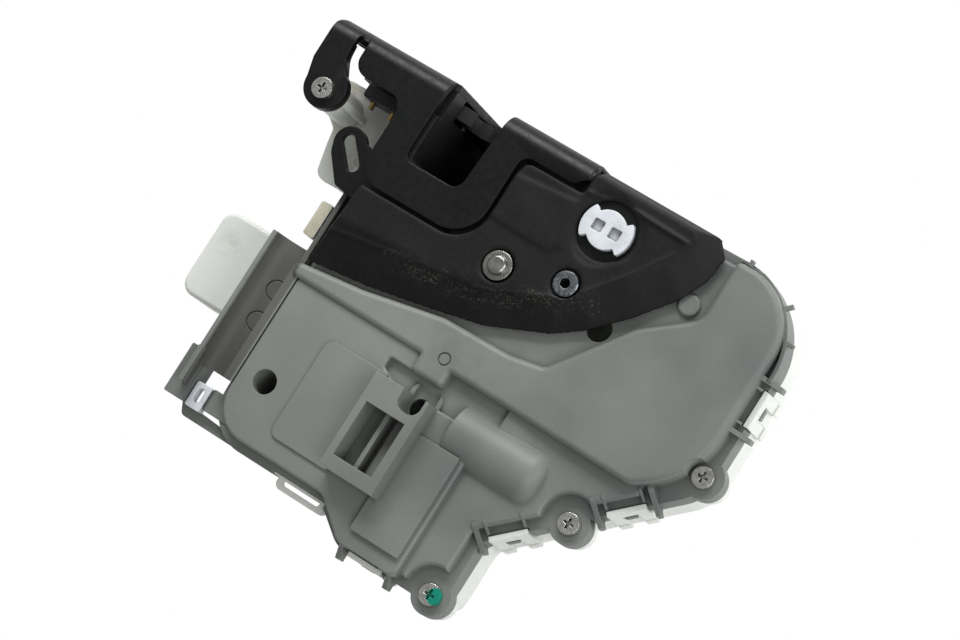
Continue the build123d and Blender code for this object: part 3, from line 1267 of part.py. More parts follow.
# worm: core, thread swept along a helix, shaft into the motor and a free journal
thread_root = worm_r - 1.2
thread_h = 1.8
thread_turns = 2
worm_mid = worm_left + worm_len / 2
with BuildPart() as worm:
    with BuildSketch(Plane.YZ.offset(worm_left - 2.8)):
        with Locations((motor_y, motor_z)):
            Circle(shaft_r)
    extrude(amount=motor_left + 6.0 - worm_left + 2.8)
    with BuildSketch(Plane.YZ.offset(worm_left)):
        with Locations((motor_y, motor_z)):
            Circle(thread_root + 0.2)
    extrude(amount=worm_len)
    with BuildPart(mode=Mode.PRIVATE) as thread:
        with BuildLine() as thread_path:
            Helix(pitch=worm_pitch, height=thread_turns * worm_pitch, radius=thread_root)
        with BuildSketch(Plane(origin=thread_path.line @ 0, x_dir=(1, 0, 0), z_dir=thread_path.line % 0)):
            with BuildLine():
                Polyline((0.0, -0.8), (thread_h, -0.42), (thread_h, 0.42), (0.0, 0.8), close=True)
            make_face()
        sweep(path=thread_path.line, is_frenet=True)
    thread_start = (worm_mid - thread_turns * worm_pitch / 2, motor_y, motor_z)
    with Locations(Location(Plane(origin=thread_start, x_dir=(0, 1, 0), z_dir=(1, 0, 0)))):
        add(thread.part)
save(worm, "worm")

# ---- switches and wiring -----------------------------------------------------------------------
with BuildPart() as latch_switch:
    # sealed switch on the latch housing, below the arm's gap
    with BuildSketch(Plane.XY.offset(30.0)):
        outline([(-40.5, -18.0), (-40.5, -13.0), (-21.0, -13.0), (-21.0, -18.0)], [1.0, 1.0, 1.0, 1.0])
    extrude(amount=10.0)
    fillet(latch_switch.edges().group_by(Axis.Z)[-1], 0.8)
save(latch_switch, "latch_switch")

with BuildPart() as switch_terminals:
    # brass tabs out of the switch's lower face
    for term_x in (-36.5, -28.7):
        with BuildSketch(Plane.XY.offset(36.0)):
            with Locations((term_x, -19.3)):
                Rectangle(0.8, 2.6)
        extrude(amount=2.4)
save(switch_terminals, "switch_terminals")

micro_xy = (86.0, -60.0)
carrier_z = floor_top + 0.6
with BuildPart() as contact_carrier:
    # black plate that carries the switches, on four feet
    with BuildSketch(Plane.XY.offset(carrier_z)):
        outline([(74.0, -74.0), (74.0, -44.0), (88.0, -34.0), (88.0, -12.0), (112.0, -12.0), (114.0, -40.0),
                 (108.0, -66.0), (96.0, -74.0)], [2.0, 3.0, 3.0, 2.0, 4.0, 4.0, 4.0, 3.0])
    extrude(amount=1.5)
    with BuildSketch(Plane.XY.offset(floor_top)):
        with Locations((78.0, -70.0), (104.0, -66.0), (92.0, -16.0), (110.0, -36.0)):
            Circle(2.0)
    extrude(amount=0.6)
save(contact_carrier, "contact_carrier")

track_w = 1.6
with BuildPart() as contact_tracks:
    # stamped brass tracks on the carrier
    for k in range(4):
        with BuildSketch(Plane.XY.offset(carrier_z + 1.5)):
            x = 92.0 + 4.0 * k
            with Locations((x, -38.0 - 2.0 * k)):
                Rectangle(track_w, 44.0 - 4.0 * k)
            with Locations(((micro_xy[0] + x) / 2 + 3.0, -60.0 + 2.6 * k - 3.0)):
                Rectangle(x - micro_xy[0] - 6.0 + track_w, track_w)
        extrude(amount=0.4)
save(contact_tracks, "contact_tracks")

with BuildPart() as micro_switch:
    with BuildSketch(Plane.XY.offset(carrier_z + 1.5)):
        with Locations((micro_xy[0] - 4.0, micro_xy[1])):
            Rectangle(9.0, 20.0)
    extrude(amount=7.0)
    fillet(micro_switch.edges().filter_by(Axis.Z), 0.8)
    with BuildSketch(Plane.YZ.offset(micro_xy[0] - 8.5)):
        with Locations((micro_xy[1] + 4.0, carrier_z + 5.5)):
            Circle(1.2)
    extrude(amount=-1.4)
save(micro_switch, "micro_switch")

# ---- connector ---------------------------------------------------------------------------------
shroud_mid = ((shroud_left + shroud_right) / 2, (shroud_y[0] + shroud_y[1]) / 2)
shroud_size = (shroud_right - shroud_left, shroud_y[1] - shroud_y[0])
with BuildPart() as connector_shroud:
    with BuildSketch(Plane.XY.offset(shroud_bottom)):
        with Locations(shroud_mid):
            RectangleRounded(*shroud_size, 5.0)
    extrude(amount=shroud_top - shroud_bottom)
    fillet(connector_shroud.edges().group_by(Axis.Z)[-1], 1.5)
    with BuildSketch(Plane.XY.offset(shroud_bottom)):
        with Locations(shroud_mid):
            RectangleRounded(shroud_size[0] - 2 * shroud_wall, shroud_size[1] - 2 * shroud_wall, 3.4)
    extrude(amount=shroud_top - shroud_bottom - 2.4, mode=Mode.SUBTRACT)
    # neck that joins the shroud to the tub's side wall
    with BuildSketch(Plane.XY.offset(case_floor)):
        outline([(shroud_right - 0.5, -98.0), (shroud_right - 0.5, -74.0), (case_left + tub_inset - 0.02, -76.0),
                 (case_left + tub_inset - 0.02, -96.0)], [0.0, 0.0, 0.0, 0.0])
    extrude(amount=shroud_top - case_floor - 1.0)
    # coding rib on the outer wall
    with BuildSketch(Plane.XY.offset(shroud_bottom)):
        with Locations((shroud_left - 0.4, shroud_mid[1])):
            Rectangle(1.6, 3.0)
    extrude(amount=14.0)
save(connector_shroud, "connector_shroud")

with BuildPart() as connector_pins:
    for row in (-3.0, 3.0):
        for k in range(5):
            with BuildSketch(Plane.XY.offset(shroud_bottom + 6.0)):
                with Locations((shroud_mid[0] + row, shroud_mid[1] - 9.0 + 4.5 * k)):
                    Rectangle(0.8, 1.6)
            extrude(amount=shroud_top - shroud_bottom - 2.4 - 6.0)
save(connector_pins, "connector_pins")

# ---- cable clips ---------------------------------------------------------------------------------
with BuildPart() as cable_clip:
    # clear clip between the trough's bracket and the tab
    with BuildSketch(Plane.XY.offset(33.4)):
        outline([(-36.2, -122.8), (-36.2, -131.6), (-30.4, -131.6), (-30.4, -122.8)], [0.8, 0.8, 0.8, 0.8])
        with Locations((-33.3, -127.0)):
            SlotOverall(5.2, 2.4, rotation=90, mode=Mode.SUBTRACT)
    extrude(amount=3.6)
save(cable_clip, "cable_clip")

with BuildPart() as harness_clip:
    # pale block on the wing beside the seal's left end, pegged to the cover's wall
    with BuildSketch(Plane.XY.offset(wing_z[1])):
        outline([(-32.4, -53.3), (-32.4, -65.6), (-28.2, -65.6), (-28.2, -53.3)], [0.8, 0.8, 0.8, 0.8])
    extrude(amount=15.0)
    with BuildSketch(Plane.YZ.offset(-28.4)):
        with Locations((-57.8, 38.2), (-61.2, 38.2)):
            Circle(0.7)
    extrude(amount=case_left + 28.4)
save(harness_clip, "harness_clip")

# return spring round the release lever's pin
with BuildPart() as lever_spring:
    with Locations((lever_pivot[0], lever_pivot[1], lever_under - 0.8)):
        Torus(5.2, 0.35)
save(lever_spring, "lever_spring")
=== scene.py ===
import json
import math

import bmesh
import bpy
from mathutils import Matrix, Vector


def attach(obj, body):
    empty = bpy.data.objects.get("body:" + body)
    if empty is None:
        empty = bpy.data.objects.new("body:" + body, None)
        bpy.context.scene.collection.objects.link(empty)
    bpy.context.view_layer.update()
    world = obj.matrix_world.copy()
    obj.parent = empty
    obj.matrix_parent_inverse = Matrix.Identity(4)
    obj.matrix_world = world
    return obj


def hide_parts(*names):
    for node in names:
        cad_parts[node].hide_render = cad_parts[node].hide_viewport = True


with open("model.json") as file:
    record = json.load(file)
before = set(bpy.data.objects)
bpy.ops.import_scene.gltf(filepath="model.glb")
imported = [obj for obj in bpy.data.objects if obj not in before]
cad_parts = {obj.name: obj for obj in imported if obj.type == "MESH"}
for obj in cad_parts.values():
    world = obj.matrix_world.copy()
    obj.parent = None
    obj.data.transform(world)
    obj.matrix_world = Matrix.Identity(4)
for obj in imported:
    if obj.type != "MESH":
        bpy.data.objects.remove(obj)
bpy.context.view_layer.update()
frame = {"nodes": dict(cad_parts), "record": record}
nodes = frame["nodes"]
mm = 0.001
scene = bpy.context.scene
print("frame loaded", len(nodes), "nodes")


def srgb(hexText):
    # hex colour as linear RGBA
    out = []
    for k in (0, 2, 4):
        c = int(hexText[k:k + 2], 16) / 255
        out.append(c / 12.92 if c <= 0.04045 else ((c + 0.055) / 1.055) ** 2.4)
    return (*out, 1.0)


def addNode(tree, kind, inputs=None, **settings):
    # one shader node, its settings, and its inputs as values or links
    node = tree.nodes.new("ShaderNode" + kind)
    for key, value in settings.items():
        setattr(node, key, value)
    for key, value in (inputs or {}).items():
        socket = node.inputs[key]
        if isinstance(value, bpy.types.NodeSocket):
            tree.links.new(value, socket)
        else:
            socket.default_value = value
    return node


def newMaterial(name):
    mat = bpy.data.materials.new(name)
    mat.use_nodes = True
    mat.node_tree.nodes.clear()
    return mat, mat.node_tree


def position(tree):
    # object position in millimetres, so pattern scales below read in mm
    coords = addNode(tree, "TexCoord")
    scaled = addNode(tree, "VectorMath", {0: coords.outputs["Object"], 1: (1000, 1000, 1000)},
                     operation="MULTIPLY")
    return scaled.outputs[0]


def noise(tree, place, sizeMm, detail=3.0, rough=0.5):
    return addNode(tree, "TexNoise", {"Vector": place, "Scale": 1.0 / sizeMm, "Detail": detail,
                                      "Roughness": rough}).outputs["Fac"]


def ramp(tree, fac, stops):
    # colour ramp from (position, hex) or (position, value) stops
    node = addNode(tree, "ValToRGB", {"Fac": fac})
    bar = node.color_ramp.elements
    while len(bar) < len(stops):
        bar.new(0.5)
    for element, (at, value) in zip(bar, stops):
        element.position = at
        element.color = srgb(value) if isinstance(value, str) else (value, value, value, 1)
    return node.outputs["Color"]


def mixColour(tree, fac, a, b, mode="MIX"):
    node = addNode(tree, "Mix", {0: fac, 6: a, 7: b}, data_type="RGBA", blend_type=mode)
    return node.outputs[2]


def maths(tree, kind, a, b=0.0):
    return addNode(tree, "Math", {0: a, 1: b}, operation=kind).outputs[0]


def nearPoint(tree, place, centreMm, radiusMm, softMm, flat=(1, 1, 1)):
    # 1 inside a ball (or a cylinder, where flat has a zero) round a point in mm, fading out at its edge
    squashed = addNode(tree, "VectorMath", {0: place, 1: flat}, operation="MULTIPLY").outputs[0]
    centre = [c * f for c, f in zip(centreMm, flat)]
    away = addNode(tree, "VectorMath", {0: squashed, 1: centre}, operation="DISTANCE").outputs["Value"]
    return addNode(tree, "MapRange", {0: away, 1: radiusMm, 2: radiusMm + softMm, 3: 1.0, 4: 0.0}).outputs[0]


def finishMaterial(tree, shader):
    addNode(tree, "OutputMaterial", {"Surface": shader.outputs[0]})


def edgeNormal(tree, radiusMm):
    # rounds the shading at sharp edges
    return addNode(tree, "Bevel", {"Radius": radiusMm * mm}, samples=4).outputs["Normal"]


def openness(tree, reachMm):
    # 1 on open faces, falling towards 0 in corners and recesses; this sets where shade is painted darker
    return addNode(tree, "AmbientOcclusion", {"Distance": reachMm * mm}, samples=6).outputs["AO"]


def plastic(name, spec):
    # injection-moulded plastic: spark-eroded grain, slow colour drift, painted shade in corners and recesses,
    # paler worn edges
    mat, tree = newMaterial(name)
    place = position(tree)
    drift = noise(tree, place, spec["driftMm"], 2.0)
    base = ramp(tree, drift, [(0.3, spec["dark"]), (0.7, spec["light"])])
    grain = noise(tree, place, spec["grainMm"], 2.0, 0.6)
    speck = ramp(tree, grain, [(0.35, 0.86), (0.62, 1.0)])
    colour = mixColour(tree, spec.get("speck", 0.5), base, mixColour(tree, 1.0, base, speck, "MULTIPLY"))
    for zone in spec.get("zones", []):
        inside = nearPoint(tree, place, zone["at"], zone["radius"], zone["soft"], zone.get("flat", (1, 1, 1)))
        if "breakMm" in zone:
            broken = ramp(tree, noise(tree, place, zone["breakMm"], 3.0, 0.6), [(0.42, 0.0), (0.6, 1.0)])
            inside = maths(tree, "MULTIPLY", inside, broken)
        amount = maths(tree, "MULTIPLY", inside, zone["amount"])
        colour = mixColour(tree, amount, colour, srgb(zone["colour"]))
    dust = spec.get("dust")
    if dust:
        patch = noise(tree, place, 26.0, 3.0)
        fine = noise(tree, place, 0.9, 4.0, 0.75)
        amount = maths(tree, "MULTIPLY", ramp(tree, patch, [(0.46, 0.0), (0.66, 1.0)]),
                       ramp(tree, fine, [(0.56, 0.0), (0.74, 1.0)]))
        colour = mixColour(tree, maths(tree, "MULTIPLY", amount, dust), colour, srgb("9a9384"))
    rounded = edgeNormal(tree, spec["roundMm"])
    turned = addNode(tree, "VectorMath", {0: rounded, 1: addNode(tree, "NewGeometry").outputs["Normal"]},
                     operation="DOT_PRODUCT").outputs["Value"]
    worn = ramp(tree, turned, [(0.8, spec.get("edge", 0.12)), (0.985, 0.0)])
    colour = mixColour(tree, worn, colour, srgb(spec["edgeColour"]))
    # painted shade: corners and recesses darkened by occlusion, by the spec's corner amount
    corner = openness(tree, spec.get("cornerMm", 3.0))
    paintedCornerShade = ramp(tree, corner, [(0.25, spec.get("corner", 0.35)), (0.8, 0.0)])
    colour = mixColour(tree, paintedCornerShade, colour, srgb(spec.get("cornerShadeColour", "1f1f1e")))
    rough = addNode(tree, "MapRange", {0: grain, 1: 0.3, 2: 0.7,
                                       3: spec["rough"] - 0.06, 4: spec["rough"] + 0.08})
    bump = addNode(tree, "Bump", {"Height": grain, "Strength": spec["bump"], "Distance": 0.06 * mm,
                                  "Normal": rounded})
    shader = addNode(tree, "BsdfPrincipled", {"Base Color": colour, "Roughness": rough.outputs[0],
                                              "Normal": bump.outputs[0], "IOR": spec.get("ior", 1.48),
                                              "Subsurface Weight": spec.get("subsurface", 0.0),
                                              "Subsurface Radius": (0.9, 0.9, 1.0),
                                              "Subsurface Scale": spec.get("scatterMm", 1.0) * mm,
                                              "Specular IOR Level": spec.get("specular", 0.5)})
    finishMaterial(tree, shader)
    return mat


def metal(name, spec):
    # bare or plated steel and brass: fine tool marks, stains, painted shade in recesses
    mat, tree = newMaterial(name)
    place = position(tree)
    lines = noise(tree, place, spec["lineMm"], 3.0, 0.65)
    stain = noise(tree, place, spec["stainMm"], 3.0)
    colour = ramp(tree, stain, [(0.3, spec["dark"]), (0.65, spec["light"])])
    recess = openness(tree, spec.get("recessMm", 1.2))
    # painted shade: recesses darkened towards near black
    colour = mixColour(tree, ramp(tree, recess, [(0.4, 0.85), (0.85, 0.0)]), colour, srgb("2a2926"))
    rough = addNode(tree, "MapRange", {0: lines, 1: 0.25, 2: 0.75,
                                       3: spec["rough"] - 0.08, 4: spec["rough"] + 0.12})
    bump = addNode(tree, "Bump", {"Height": lines, "Strength": spec["bump"], "Distance": 0.03 * mm,
                                  "Normal": edgeNormal(tree, spec["roundMm"])})
    shader = addNode(tree, "BsdfPrincipled", {"Base Color": colour, "Metallic": 1.0,
                                              "Roughness": rough.outputs[0], "Normal": bump.outputs[0]})
    dab = spec.get("dab")
    if dab:
        # brushed-on dab of paint that marks a checked screw
        ragged = maths(tree, "MULTIPLY", noise(tree, place, 1.6, 2.0), 1.4)
        shifted = addNode(tree, "VectorMath", {0: place, 1: ragged}, operation="ADD").outputs[0]
        painted = nearPoint(tree, shifted, dab["at"], dab["radius"], 0.25, (1, 1, 0))
        paint = addNode(tree, "BsdfPrincipled", {"Base Color": srgb(dab["colour"]), "Roughness": 0.32,
                                                 "Normal": bump.outputs[0]})
        shader = addNode(tree, "MixShader", {0: painted, 1: shader.outputs[0], 2: paint.outputs[0]})
    finishMaterial(tree, shader)
    return mat


# grey cover: talc-filled polypropylene, spark-eroded tool, coarser inside the cable trough, whose inside is
# painted darker as shade; painted shade in corners as well
greySpec = {"dark": "6c706d", "light": "81857f", "driftMm": 34.0, "grainMm": 0.42, "rough": 0.46,
            "bump": 0.35, "roundMm": 0.4, "edgeColour": "b0b2ab", "edge": 0.34, "speck": 0.5,
            "specular": 0.42, "corner": 0.45,
            "zones": [{"at": (-31.5, 0, 43.0), "radius": 6.7, "soft": 0.4, "flat": (1, 0, 1), "amount": 0.9,
                       "colour": "2e2f2e"},
                      {"at": (30.0, -62.0, 44.0), "radius": 18.0, "soft": 30.0, "amount": 0.2, "breakMm": 9.0,
                       "colour": "8f918b"},
                      # painted light: a broad pale pool over the left of the cover
                      {"at": (-8.0, -78.0, 44.0), "radius": 26.0, "soft": 40.0, "amount": 0.3,
                       "colour": "92948e"}]}
greyPlastic = plastic("grey_polypropylene_moulded", greySpec)

# tub and shroud: natural acetal, greasy where the latch was lubricated; painted shade in its corners
whiteSpec = {"dark": "e0e3dd", "light": "eaede7", "driftMm": 60.0, "grainMm": 0.5, "rough": 0.42,
             "bump": 0.15, "roundMm": 0.4, "edgeColour": "f0f1ec", "edge": 0.3, "subsurface": 0.2,
             "scatterMm": 2.0, "corner": 0.3, "cornerShadeColour": "6d6f68",
             "zones": [{"at": (-52.0, -22.0, 24.5), "radius": 5.0, "soft": 5.0, "amount": 0.7, "breakMm": 2.6,
                        "colour": "b7a878"},
                       {"at": (-30.0, -36.0, 24.5), "radius": 6.0, "soft": 6.0, "amount": 0.7, "breakMm": 2.2,
                        "colour": "a89a72"},
                       {"at": (-60.0, -80.0, 18.0), "radius": 4.0, "soft": 3.0, "amount": 0.3, "breakMm": 5.0,
                        "colour": "9fa19a"}]}
whitePlastic = plastic("natural_acetal_moulded", whiteSpec)

# cam and clips: natural nylon that lets a little light through, with strong painted shade in corners and
# recesses
nylonSpec = {"dark": "ccd1d8", "light": "e2e6ea", "driftMm": 6.0, "grainMm": 0.35, "rough": 0.3, "bump": 0.12,
             "roundMm": 0.35, "edgeColour": "f4f6f8", "edge": 0.35, "subsurface": 0.5, "scatterMm": 3.0,
             "corner": 0.85, "cornerMm": 2.5, "cornerShadeColour": "5e6267"}
nylon = plastic("natural_nylon_moulded", nylonSpec)

# harness clip: pale aged nylon in a darker beige copy, painted as shade for the side away from the light
shadedBeigeSpec = {**nylonSpec, "dark": "b9b49f", "light": "d3cfbd", "driftMm": 9.0}
shadedBeigeNylon = plastic("aged_nylon_beige_painted_shade", shadedBeigeSpec)

# black housing, pads and switches: glass-filled nylon
blackSpec = {"dark": "141517", "light": "1f2022", "driftMm": 18.0, "grainMm": 0.35, "rough": 0.48,
             "bump": 0.4, "roundMm": 0.3, "edgeColour": "4a4b4e", "edge": 0.2, "dust": 0.12}
blackPlastic = plastic("glass_filled_nylon_black", blackSpec)

# gasket and striker buffer: foamed and solid rubber
gasketSpec = {"dark": "1b1c1d", "light": "262728", "driftMm": 22.0, "grainMm": 0.6, "rough": 0.8, "bump": 0.8,
              "roundMm": 0.5, "edgeColour": "3d3d3d", "edge": 0.25, "specular": 0.35}
gasketRubber = plastic("foamed_rubber_black", gasketSpec)
bufferRubber = plastic("moulded_rubber_black", {**gasketSpec, "grainMm": 0.3, "bump": 0.4, "rough": 0.6})

# latch plate, deck and release lever: pressed steel with a satin black electrocoat, faint painted shade in
# corners
paintSpec = {"dark": "0c0d0e", "light": "131415", "driftMm": 30.0, "grainMm": 2.5, "rough": 0.38,
             "bump": 0.02, "roundMm": 0.6, "edgeColour": "3c3e41", "edge": 0.12, "speck": 0.0, "ior": 1.5,
             "specular": 0.27, "corner": 0.2, "cornerShadeColour": "050505"}
blackPaint = plastic("black_electrocoat_on_steel", paintSpec)

# screws: nickel plate, one of them marked with a dab of green paint
screwSpec = {"dark": "c8c6c1", "light": "efeee9", "stainMm": 1.8, "lineMm": 0.5, "rough": 0.2, "bump": 0.2,
             "roundMm": 0.25, "dab": {"at": (70.6, -139.6, 0), "radius": 2.5, "colour": "00826e"}}
screwSteel = metal("nickel_plated_steel", screwSpec)

# release lever's pin: turned steel, polished by its snap head tool
rivetSpec = {"dark": "8b8a86", "light": "b9b8b3", "stainMm": 3.0, "lineMm": 1.2, "rough": 0.26, "bump": 0.06,
             "roundMm": 0.5}
rivetSteel = metal("polished_rivet_steel", rivetSpec)

# bush, posts and motor can: zinc plate with a fine spangle
zincSpec = {"dark": "4f5356", "light": "9aa1a5", "stainMm": 0.9, "lineMm": 0.5, "rough": 0.34, "bump": 0.4,
            "roundMm": 0.25}
zincSteel = metal("zinc_plated_pressed_steel", zincSpec)
springSpec = {"dark": "6d6f72", "light": "9da0a3", "stainMm": 3.0, "lineMm": 0.2, "rough": 0.3, "bump": 0.2,
              "roundMm": 0.05}
springSteel = metal("drawn_spring_wire", springSpec)
brassSpec = {"dark": "a07f45", "light": "cdb06f", "stainMm": 4.0, "lineMm": 0.3, "rough": 0.3, "bump": 0.2,
             "roundMm": 0.1}
brass = metal("stamped_brass", brassSpec)

finishes = {
    "black_coated_steel": blackPaint, "latch_steel": zincSteel, "bright_steel": screwSteel,
    "spring_steel": springSteel, "black_plastic": blackPlastic, "claw_plastic": blackPlastic,
    "grey_plastic": greyPlastic, "white_plastic": whitePlastic, "clear_white_plastic": nylon,
    "seal_rubber": bufferRubber, "gasket_rubber": gasketRubber, "brass": brass, "motor_steel": zincSteel,
}
ownFinish = {"lever_pin": rivetSteel, "threaded_bush": zincSteel, "harness_clip": shadedBeigeNylon}
slotOf = {s["node"]: s["material_slot"] for s in frame["record"]["subparts"]}
flatFaceWeight = 90


def evenShading(obj):
    # even shading across big flat faces beside small fillets
    weighted = obj.modifiers.new("even shading", "WEIGHTED_NORMAL")
    weighted.keep_sharp = True
    weighted.weight = flatFaceWeight


for name, obj in nodes.items():
    obj.data.materials.clear()
    obj.data.materials.append(ownFinish.get(name, finishes[slotOf[name]]))
    evenShading(obj)
print("materials", len(bpy.data.materials))

# pressed sheet of the latch: the flush pieces joined into one skin, so that no seam shows
sheetPieces = {"base": "latch_plate", "others": ["cheek_left", "cheek_right", "mouth_sill"],
               "sharpDegrees": 35}
sheet = bpy.data.objects.new("latch_sheet", nodes[sheetPieces["base"]].data.copy())
sheet.matrix_world = nodes[sheetPieces["base"]].matrix_world.copy()
scene.collection.objects.link(sheet)
for piece in sheetPieces["others"]:
    union = sheet.modifiers.new(piece, "BOOLEAN")
    union.operation = "UNION"
    union.solver = "EXACT"
    union.object = nodes[piece]
joined = bpy.data.meshes.new_from_object(sheet.evaluated_get(bpy.context.evaluated_depsgraph_get()))
sheet.modifiers.clear()
sheet.data = joined
for face in joined.polygons:
    face.use_smooth = True
joined.set_sharp_from_angle(angle=math.radians(sheetPieces["sharpDegrees"]))
evenShading(sheet)
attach(sheet, "frame")
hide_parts(sheetPieces["base"], *sheetPieces["others"])
print("sheet", len(joined.polygons), "faces")

# rubber seal: the skin remeshed finely, softened, then pressed and raised along listed lines and areas
sealSpec = {"voxelMm": 0.55, "softenSteps": 7,
            "crease": [(-22, -60.6), (5.9, -56.2), (32.9, -52.3), (45.7, -47.3), (58.7, -41.2), (71.5, -26.4),
                       (81.0, -12.5), (81.6, -8.0), (62.0, -7.4)],
            "pad": [(21.6, -31.7), (22.0, -16.0), (45.0, -13.8), (46.2, -21.7), (48.6, -28.6), (45.1, -31.6),
                    (39.5, -32.0)],
            "strip": [(45.8, -9.6), (62.0, -7.6), (82.5, -8.2)],
            "corner": [(22.4, -18.5), (38.0, -10.9), (25.2, -10.9), (23.0, -12.2)],
            "cornerHeights": (47.6, 49.4), "cam": (57.8, -17.0), "camDip": 0.5, "camDipRadius": 11.6,
            "creaseRise": 0.42, "creaseWidth": 0.8, "padRise": 0.45, "padEdge": 0.3,
            "stripRise": 0.35, "stripWidth": 0.7, "unevenRise": 0.12,
            "dust": [(1.5, -58.4), (32.9, -54.4), (66.0, -38.4)], "dustWidth": 4.5}


def toSegments(x, y, points, closed=False):
    # distance from a point to a polyline, all in mm
    best = 1e9
    pairs = list(zip(points, points[1:] + points[:1])) if closed else list(zip(points, points[1:]))
    for (ax, ay), (bx, by) in pairs:
        dx, dy = bx - ax, by - ay
        t = max(0.0, min(1.0, ((x - ax) * dx + (y - ay) * dy) / (dx * dx + dy * dy)))
        best = min(best, math.hypot(x - ax - t * dx, y - ay - t * dy))
    return best


def insideLoop(x, y, points):
    hit = False
    for (ax, ay), (bx, by) in zip(points, points[1:] + points[:1]):
        if (ay > y) != (by > y) and x < ax + (y - ay) * (bx - ax) / (by - ay):
            hit = not hit
    return hit


def sealHeight(x, y, spec):
    # how far the skin is raised above its plain form, in mm
    rise = spec["creaseRise"] * math.exp(-(toSegments(x, y, spec["crease"]) / spec["creaseWidth"]) ** 2)
    edge = toSegments(x, y, spec["pad"], True)
    signed = edge if insideLoop(x, y, spec["pad"]) else -edge
    rise += spec["padRise"] / (1 + math.exp(-signed / spec["padEdge"]))
    rise += spec["stripRise"] * math.exp(-(toSegments(x, y, spec["strip"]) / spec["stripWidth"]) ** 2)
    fromCam = math.hypot(x - spec["cam"][0], y - spec["cam"][1])
    wobble = 0.7 * math.sin(3.1 * math.atan2(y - spec["cam"][1], x - spec["cam"][0]) + 0.8)
    rise -= spec["camDip"] / (1 + math.exp((fromCam - spec["camDipRadius"] - wobble) / 0.35))
    rise += spec["unevenRise"] * math.sin(0.31 * x + 0.17 * y) * math.sin(0.23 * y - 0.11 * x)
    return rise


sealCad = nodes["latch_seal"]
sealMesh = bmesh.new()
sealMesh.from_mesh(sealCad.data)
# the skin reaches into the corner between the flange and its right-hand leg
cornerBottomMm, cornerTopMm = sealSpec["cornerHeights"]
cornerLow = [sealMesh.verts.new((x * mm, y * mm, cornerBottomMm * mm)) for x, y in sealSpec["corner"]]
cornerTop = [sealMesh.verts.new((x * mm, y * mm, cornerTopMm * mm)) for x, y in sealSpec["corner"]]
sealMesh.faces.new(reversed(cornerLow))
sealMesh.faces.new(cornerTop)
for k in range(len(cornerLow)):
    j = (k + 1) % len(cornerLow)
    sealMesh.faces.new((cornerLow[k], cornerLow[j], cornerTop[j], cornerTop[k]))
sealSource = bpy.data.meshes.new("seal_source")
sealMesh.to_mesh(sealSource)
seal = bpy.data.objects.new("seal_skin", sealSource)
seal.matrix_world = sealCad.matrix_world.copy()
scene.collection.objects.link(seal)
remesh = seal.modifiers.new("remesh", "REMESH")
remesh.mode = "VOXEL"
remesh.voxel_size = sealSpec["voxelMm"] * mm
soften = seal.modifiers.new("soften", "SMOOTH")
soften.factor = 0.5
soften.iterations = sealSpec["softenSteps"]
shaped = bpy.data.meshes.new_from_object(seal.evaluated_get(bpy.context.evaluated_depsgraph_get()))
seal.modifiers.clear()
seal.data = shaped
dusty = shaped.attributes.new("dusty", "FLOAT", "POINT")
for vertex, mark in zip(shaped.vertices, dusty.data):
    x, y = vertex.co.x / mm, vertex.co.y / mm
    vertex.co.z += sealHeight(x, y, sealSpec) * mm
    band = toSegments(x, y, sealSpec["dust"])
    mark.value = max(0.0, 1.0 - band / sealSpec["dustWidth"])
for face in shaped.polygons:
    face.use_smooth = True
print("seal", len(shaped.vertices), "vertices")

# soft black thermoplastic rubber, dusty along its crease
sealMat, tree = newMaterial("soft_tpe_rubber_black")
place = position(tree)
skin = noise(tree, place, 0.35, 2.0, 0.6)
bloom = ramp(tree, noise(tree, place, 16.0, 3.0), [(0.3, "0f0f10"), (0.7, "181818")])
mottled = mixColour(tree, ramp(tree, noise(tree, place, 1.6, 3.0, 0.7), [(0.5, 0.0), (0.75, 0.35)]), bloom,
                    srgb("292827"))
band = addNode(tree, "Attribute", attribute_name="dusty").outputs["Fac"]
crumbs = ramp(tree, noise(tree, place, 0.8, 4.0, 0.8), [(0.53, 0.0), (0.64, 1.0)])
streak = ramp(tree, noise(tree, place, 4.0, 3.0, 0.6), [(0.4, 0.05), (0.62, 1.0)])
scattered = ramp(tree, noise(tree, place, 0.8, 3.0, 0.8), [(0.66, 0.0), (0.74, 0.5)])
few = maths(tree, "MULTIPLY", scattered, 0.5)
alongCrease = maths(tree, "MULTIPLY", maths(tree, "MULTIPLY", band, crumbs), streak)
dustAmount = maths(tree, "MAXIMUM", alongCrease, few)
sealColour = mixColour(tree, maths(tree, "MULTIPLY", dustAmount, 0.6), mottled, srgb("857f72"))
skinBump = addNode(tree, "Bump", {"Height": skin, "Strength": 0.5, "Distance": 0.06 * mm})
dustBump = addNode(tree, "Bump", {"Height": dustAmount, "Strength": 0.4, "Distance": 0.1 * mm,
                                  "Normal": skinBump.outputs[0]})
sealShader = addNode(tree, "BsdfPrincipled", {"Base Color": sealColour, "Roughness": 0.58,
                                              "Normal": dustBump.outputs[0], "Specular IOR Level": 0.24})
finishMaterial(tree, sealShader)
seal.data.materials.clear()
seal.data.materials.append(sealMat)
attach(seal, "frame")
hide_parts("latch_seal")
print("seal skin")

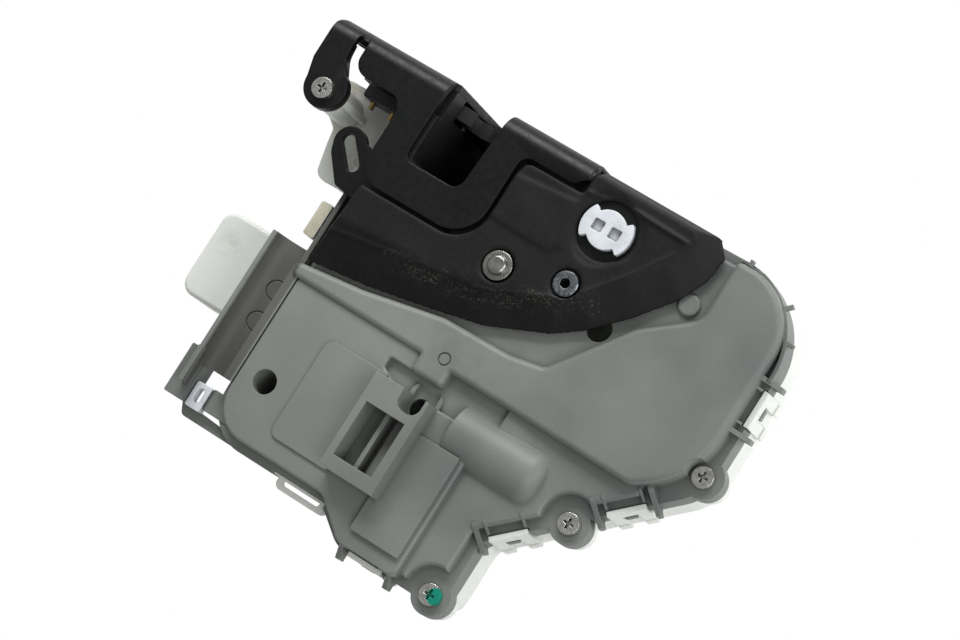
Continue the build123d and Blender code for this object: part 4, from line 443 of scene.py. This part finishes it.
# camera above the part, turned, tilted and rolled, angles in degrees and lengths in mm
view = {"target": (33.3, -60.0, 36.0), "distance": 1100, "turn": -9.0, "tilt": 21.0, "roll": 31.15,
        "lens": 132.0, "sensor": 36.0}
target = Vector(view["target"]) * mm
distance = view["distance"] * mm
turn, tilt, roll = math.radians(view["turn"]), math.radians(view["tilt"]), math.radians(view["roll"])
back = Vector((math.cos(turn) * math.sin(tilt), math.sin(turn) * math.sin(tilt), math.cos(tilt)))
flat = (Vector((1, 0, 0)) - back * back.x).normalized()
upright = back.cross(flat)
right = math.cos(roll) * flat + math.sin(roll) * upright
up = -math.sin(roll) * flat + math.cos(roll) * upright
cameraData = bpy.data.cameras.new("camera")
cameraData.lens = view["lens"]
cameraData.sensor_width = view["sensor"]
cameraData.clip_start = 0.05
cameraData.clip_end = 20.0
camera = bpy.data.objects.new("camera", cameraData)
camera.matrix_world = Matrix((
    (right.x, up.x, back.x, target.x + back.x * distance),
    (right.y, up.y, back.y, target.y + back.y * distance),
    (right.z, up.z, back.z, target.z + back.z * distance),
    (0, 0, 0, 1),
))
scene.collection.objects.link(camera)
scene.camera = camera

# white paper floor well below the part, shown pure white
floorSpec = {"size": 3.0, "place": (0.03, -0.07, -0.0215)}
floorMesh = bmesh.new()
bmesh.ops.create_grid(floorMesh, x_segments=8, y_segments=8, size=floorSpec["size"])
floorData = bpy.data.meshes.new("floor")
floorMesh.to_mesh(floorData)
floor = bpy.data.objects.new("floor", floorData)
floor.location = floorSpec["place"]
scene.collection.objects.link(floor)
floorMat, floorTree = newMaterial("white_paper_sweep")
floorFibre = noise(floorTree, position(floorTree), 14.0)
floorWhite = addNode(floorTree, "BsdfPrincipled", {
    "Base Color": ramp(floorTree, floorFibre, [(0.3, "fbfbfb"), (0.7, "ffffff")]), "Roughness": 0.9})
glow = addNode(floorTree, "Emission", {"Color": (1, 1, 1, 1), "Strength": 1.0})
rays = addNode(floorTree, "LightPath")
toCamera = addNode(floorTree, "MixShader", {0: rays.outputs["Is Camera Ray"], 1: floorWhite.outputs[0],
                                            2: glow.outputs[0]})
finishMaterial(floorTree, toCamera)
floor.data.materials.append(floorMat)

# studio light: white surroundings and three large soft boxes
world = bpy.data.worlds.new("studio")
world.use_nodes = True
world.node_tree.nodes.clear()
scene.world = world
worldRays = addNode(world.node_tree, "LightPath")
ambientStrength = 0.3
ambient = addNode(world.node_tree, "Background", {"Color": (1, 1, 1, 1), "Strength": ambientStrength})
seen = addNode(world.node_tree, "Background", {"Color": (1, 1, 1, 1), "Strength": 1.0})
worldMix = addNode(world.node_tree, "MixShader", {0: worldRays.outputs["Is Camera Ray"],
                                                  1: ambient.outputs[0], 2: seen.outputs[0]})
addNode(world.node_tree, "OutputWorld", {"Surface": worldMix.outputs[0]})


def softBox(name, away, size, power):
    # rectangular area light, away from the target along the camera's right, up and back
    data = bpy.data.lights.new(name, "AREA")
    data.shape = "RECTANGLE"
    data.size, data.size_y = size
    data.energy = power
    lamp = bpy.data.objects.new(name, data)
    offset = right * away[0] + up * away[1] + back * away[2]
    lamp.location = target + offset
    lamp.rotation_mode = "QUATERNION"
    lamp.rotation_quaternion = (-offset).to_track_quat("-Z", "Y")
    scene.collection.objects.link(lamp)


softBox("key_top", (0.05, 1.15, 0.5), (1.0, 0.5), 15.0)
softBox("fill_right", (1.1, -0.1, 0.7), (0.6, 0.8), 5.0)
softBox("fill_camera", (0.35, -0.45, 1.2), (0.7, 0.7), 6.0)
print("camera and lights")

scene.view_settings.view_transform = "Standard"
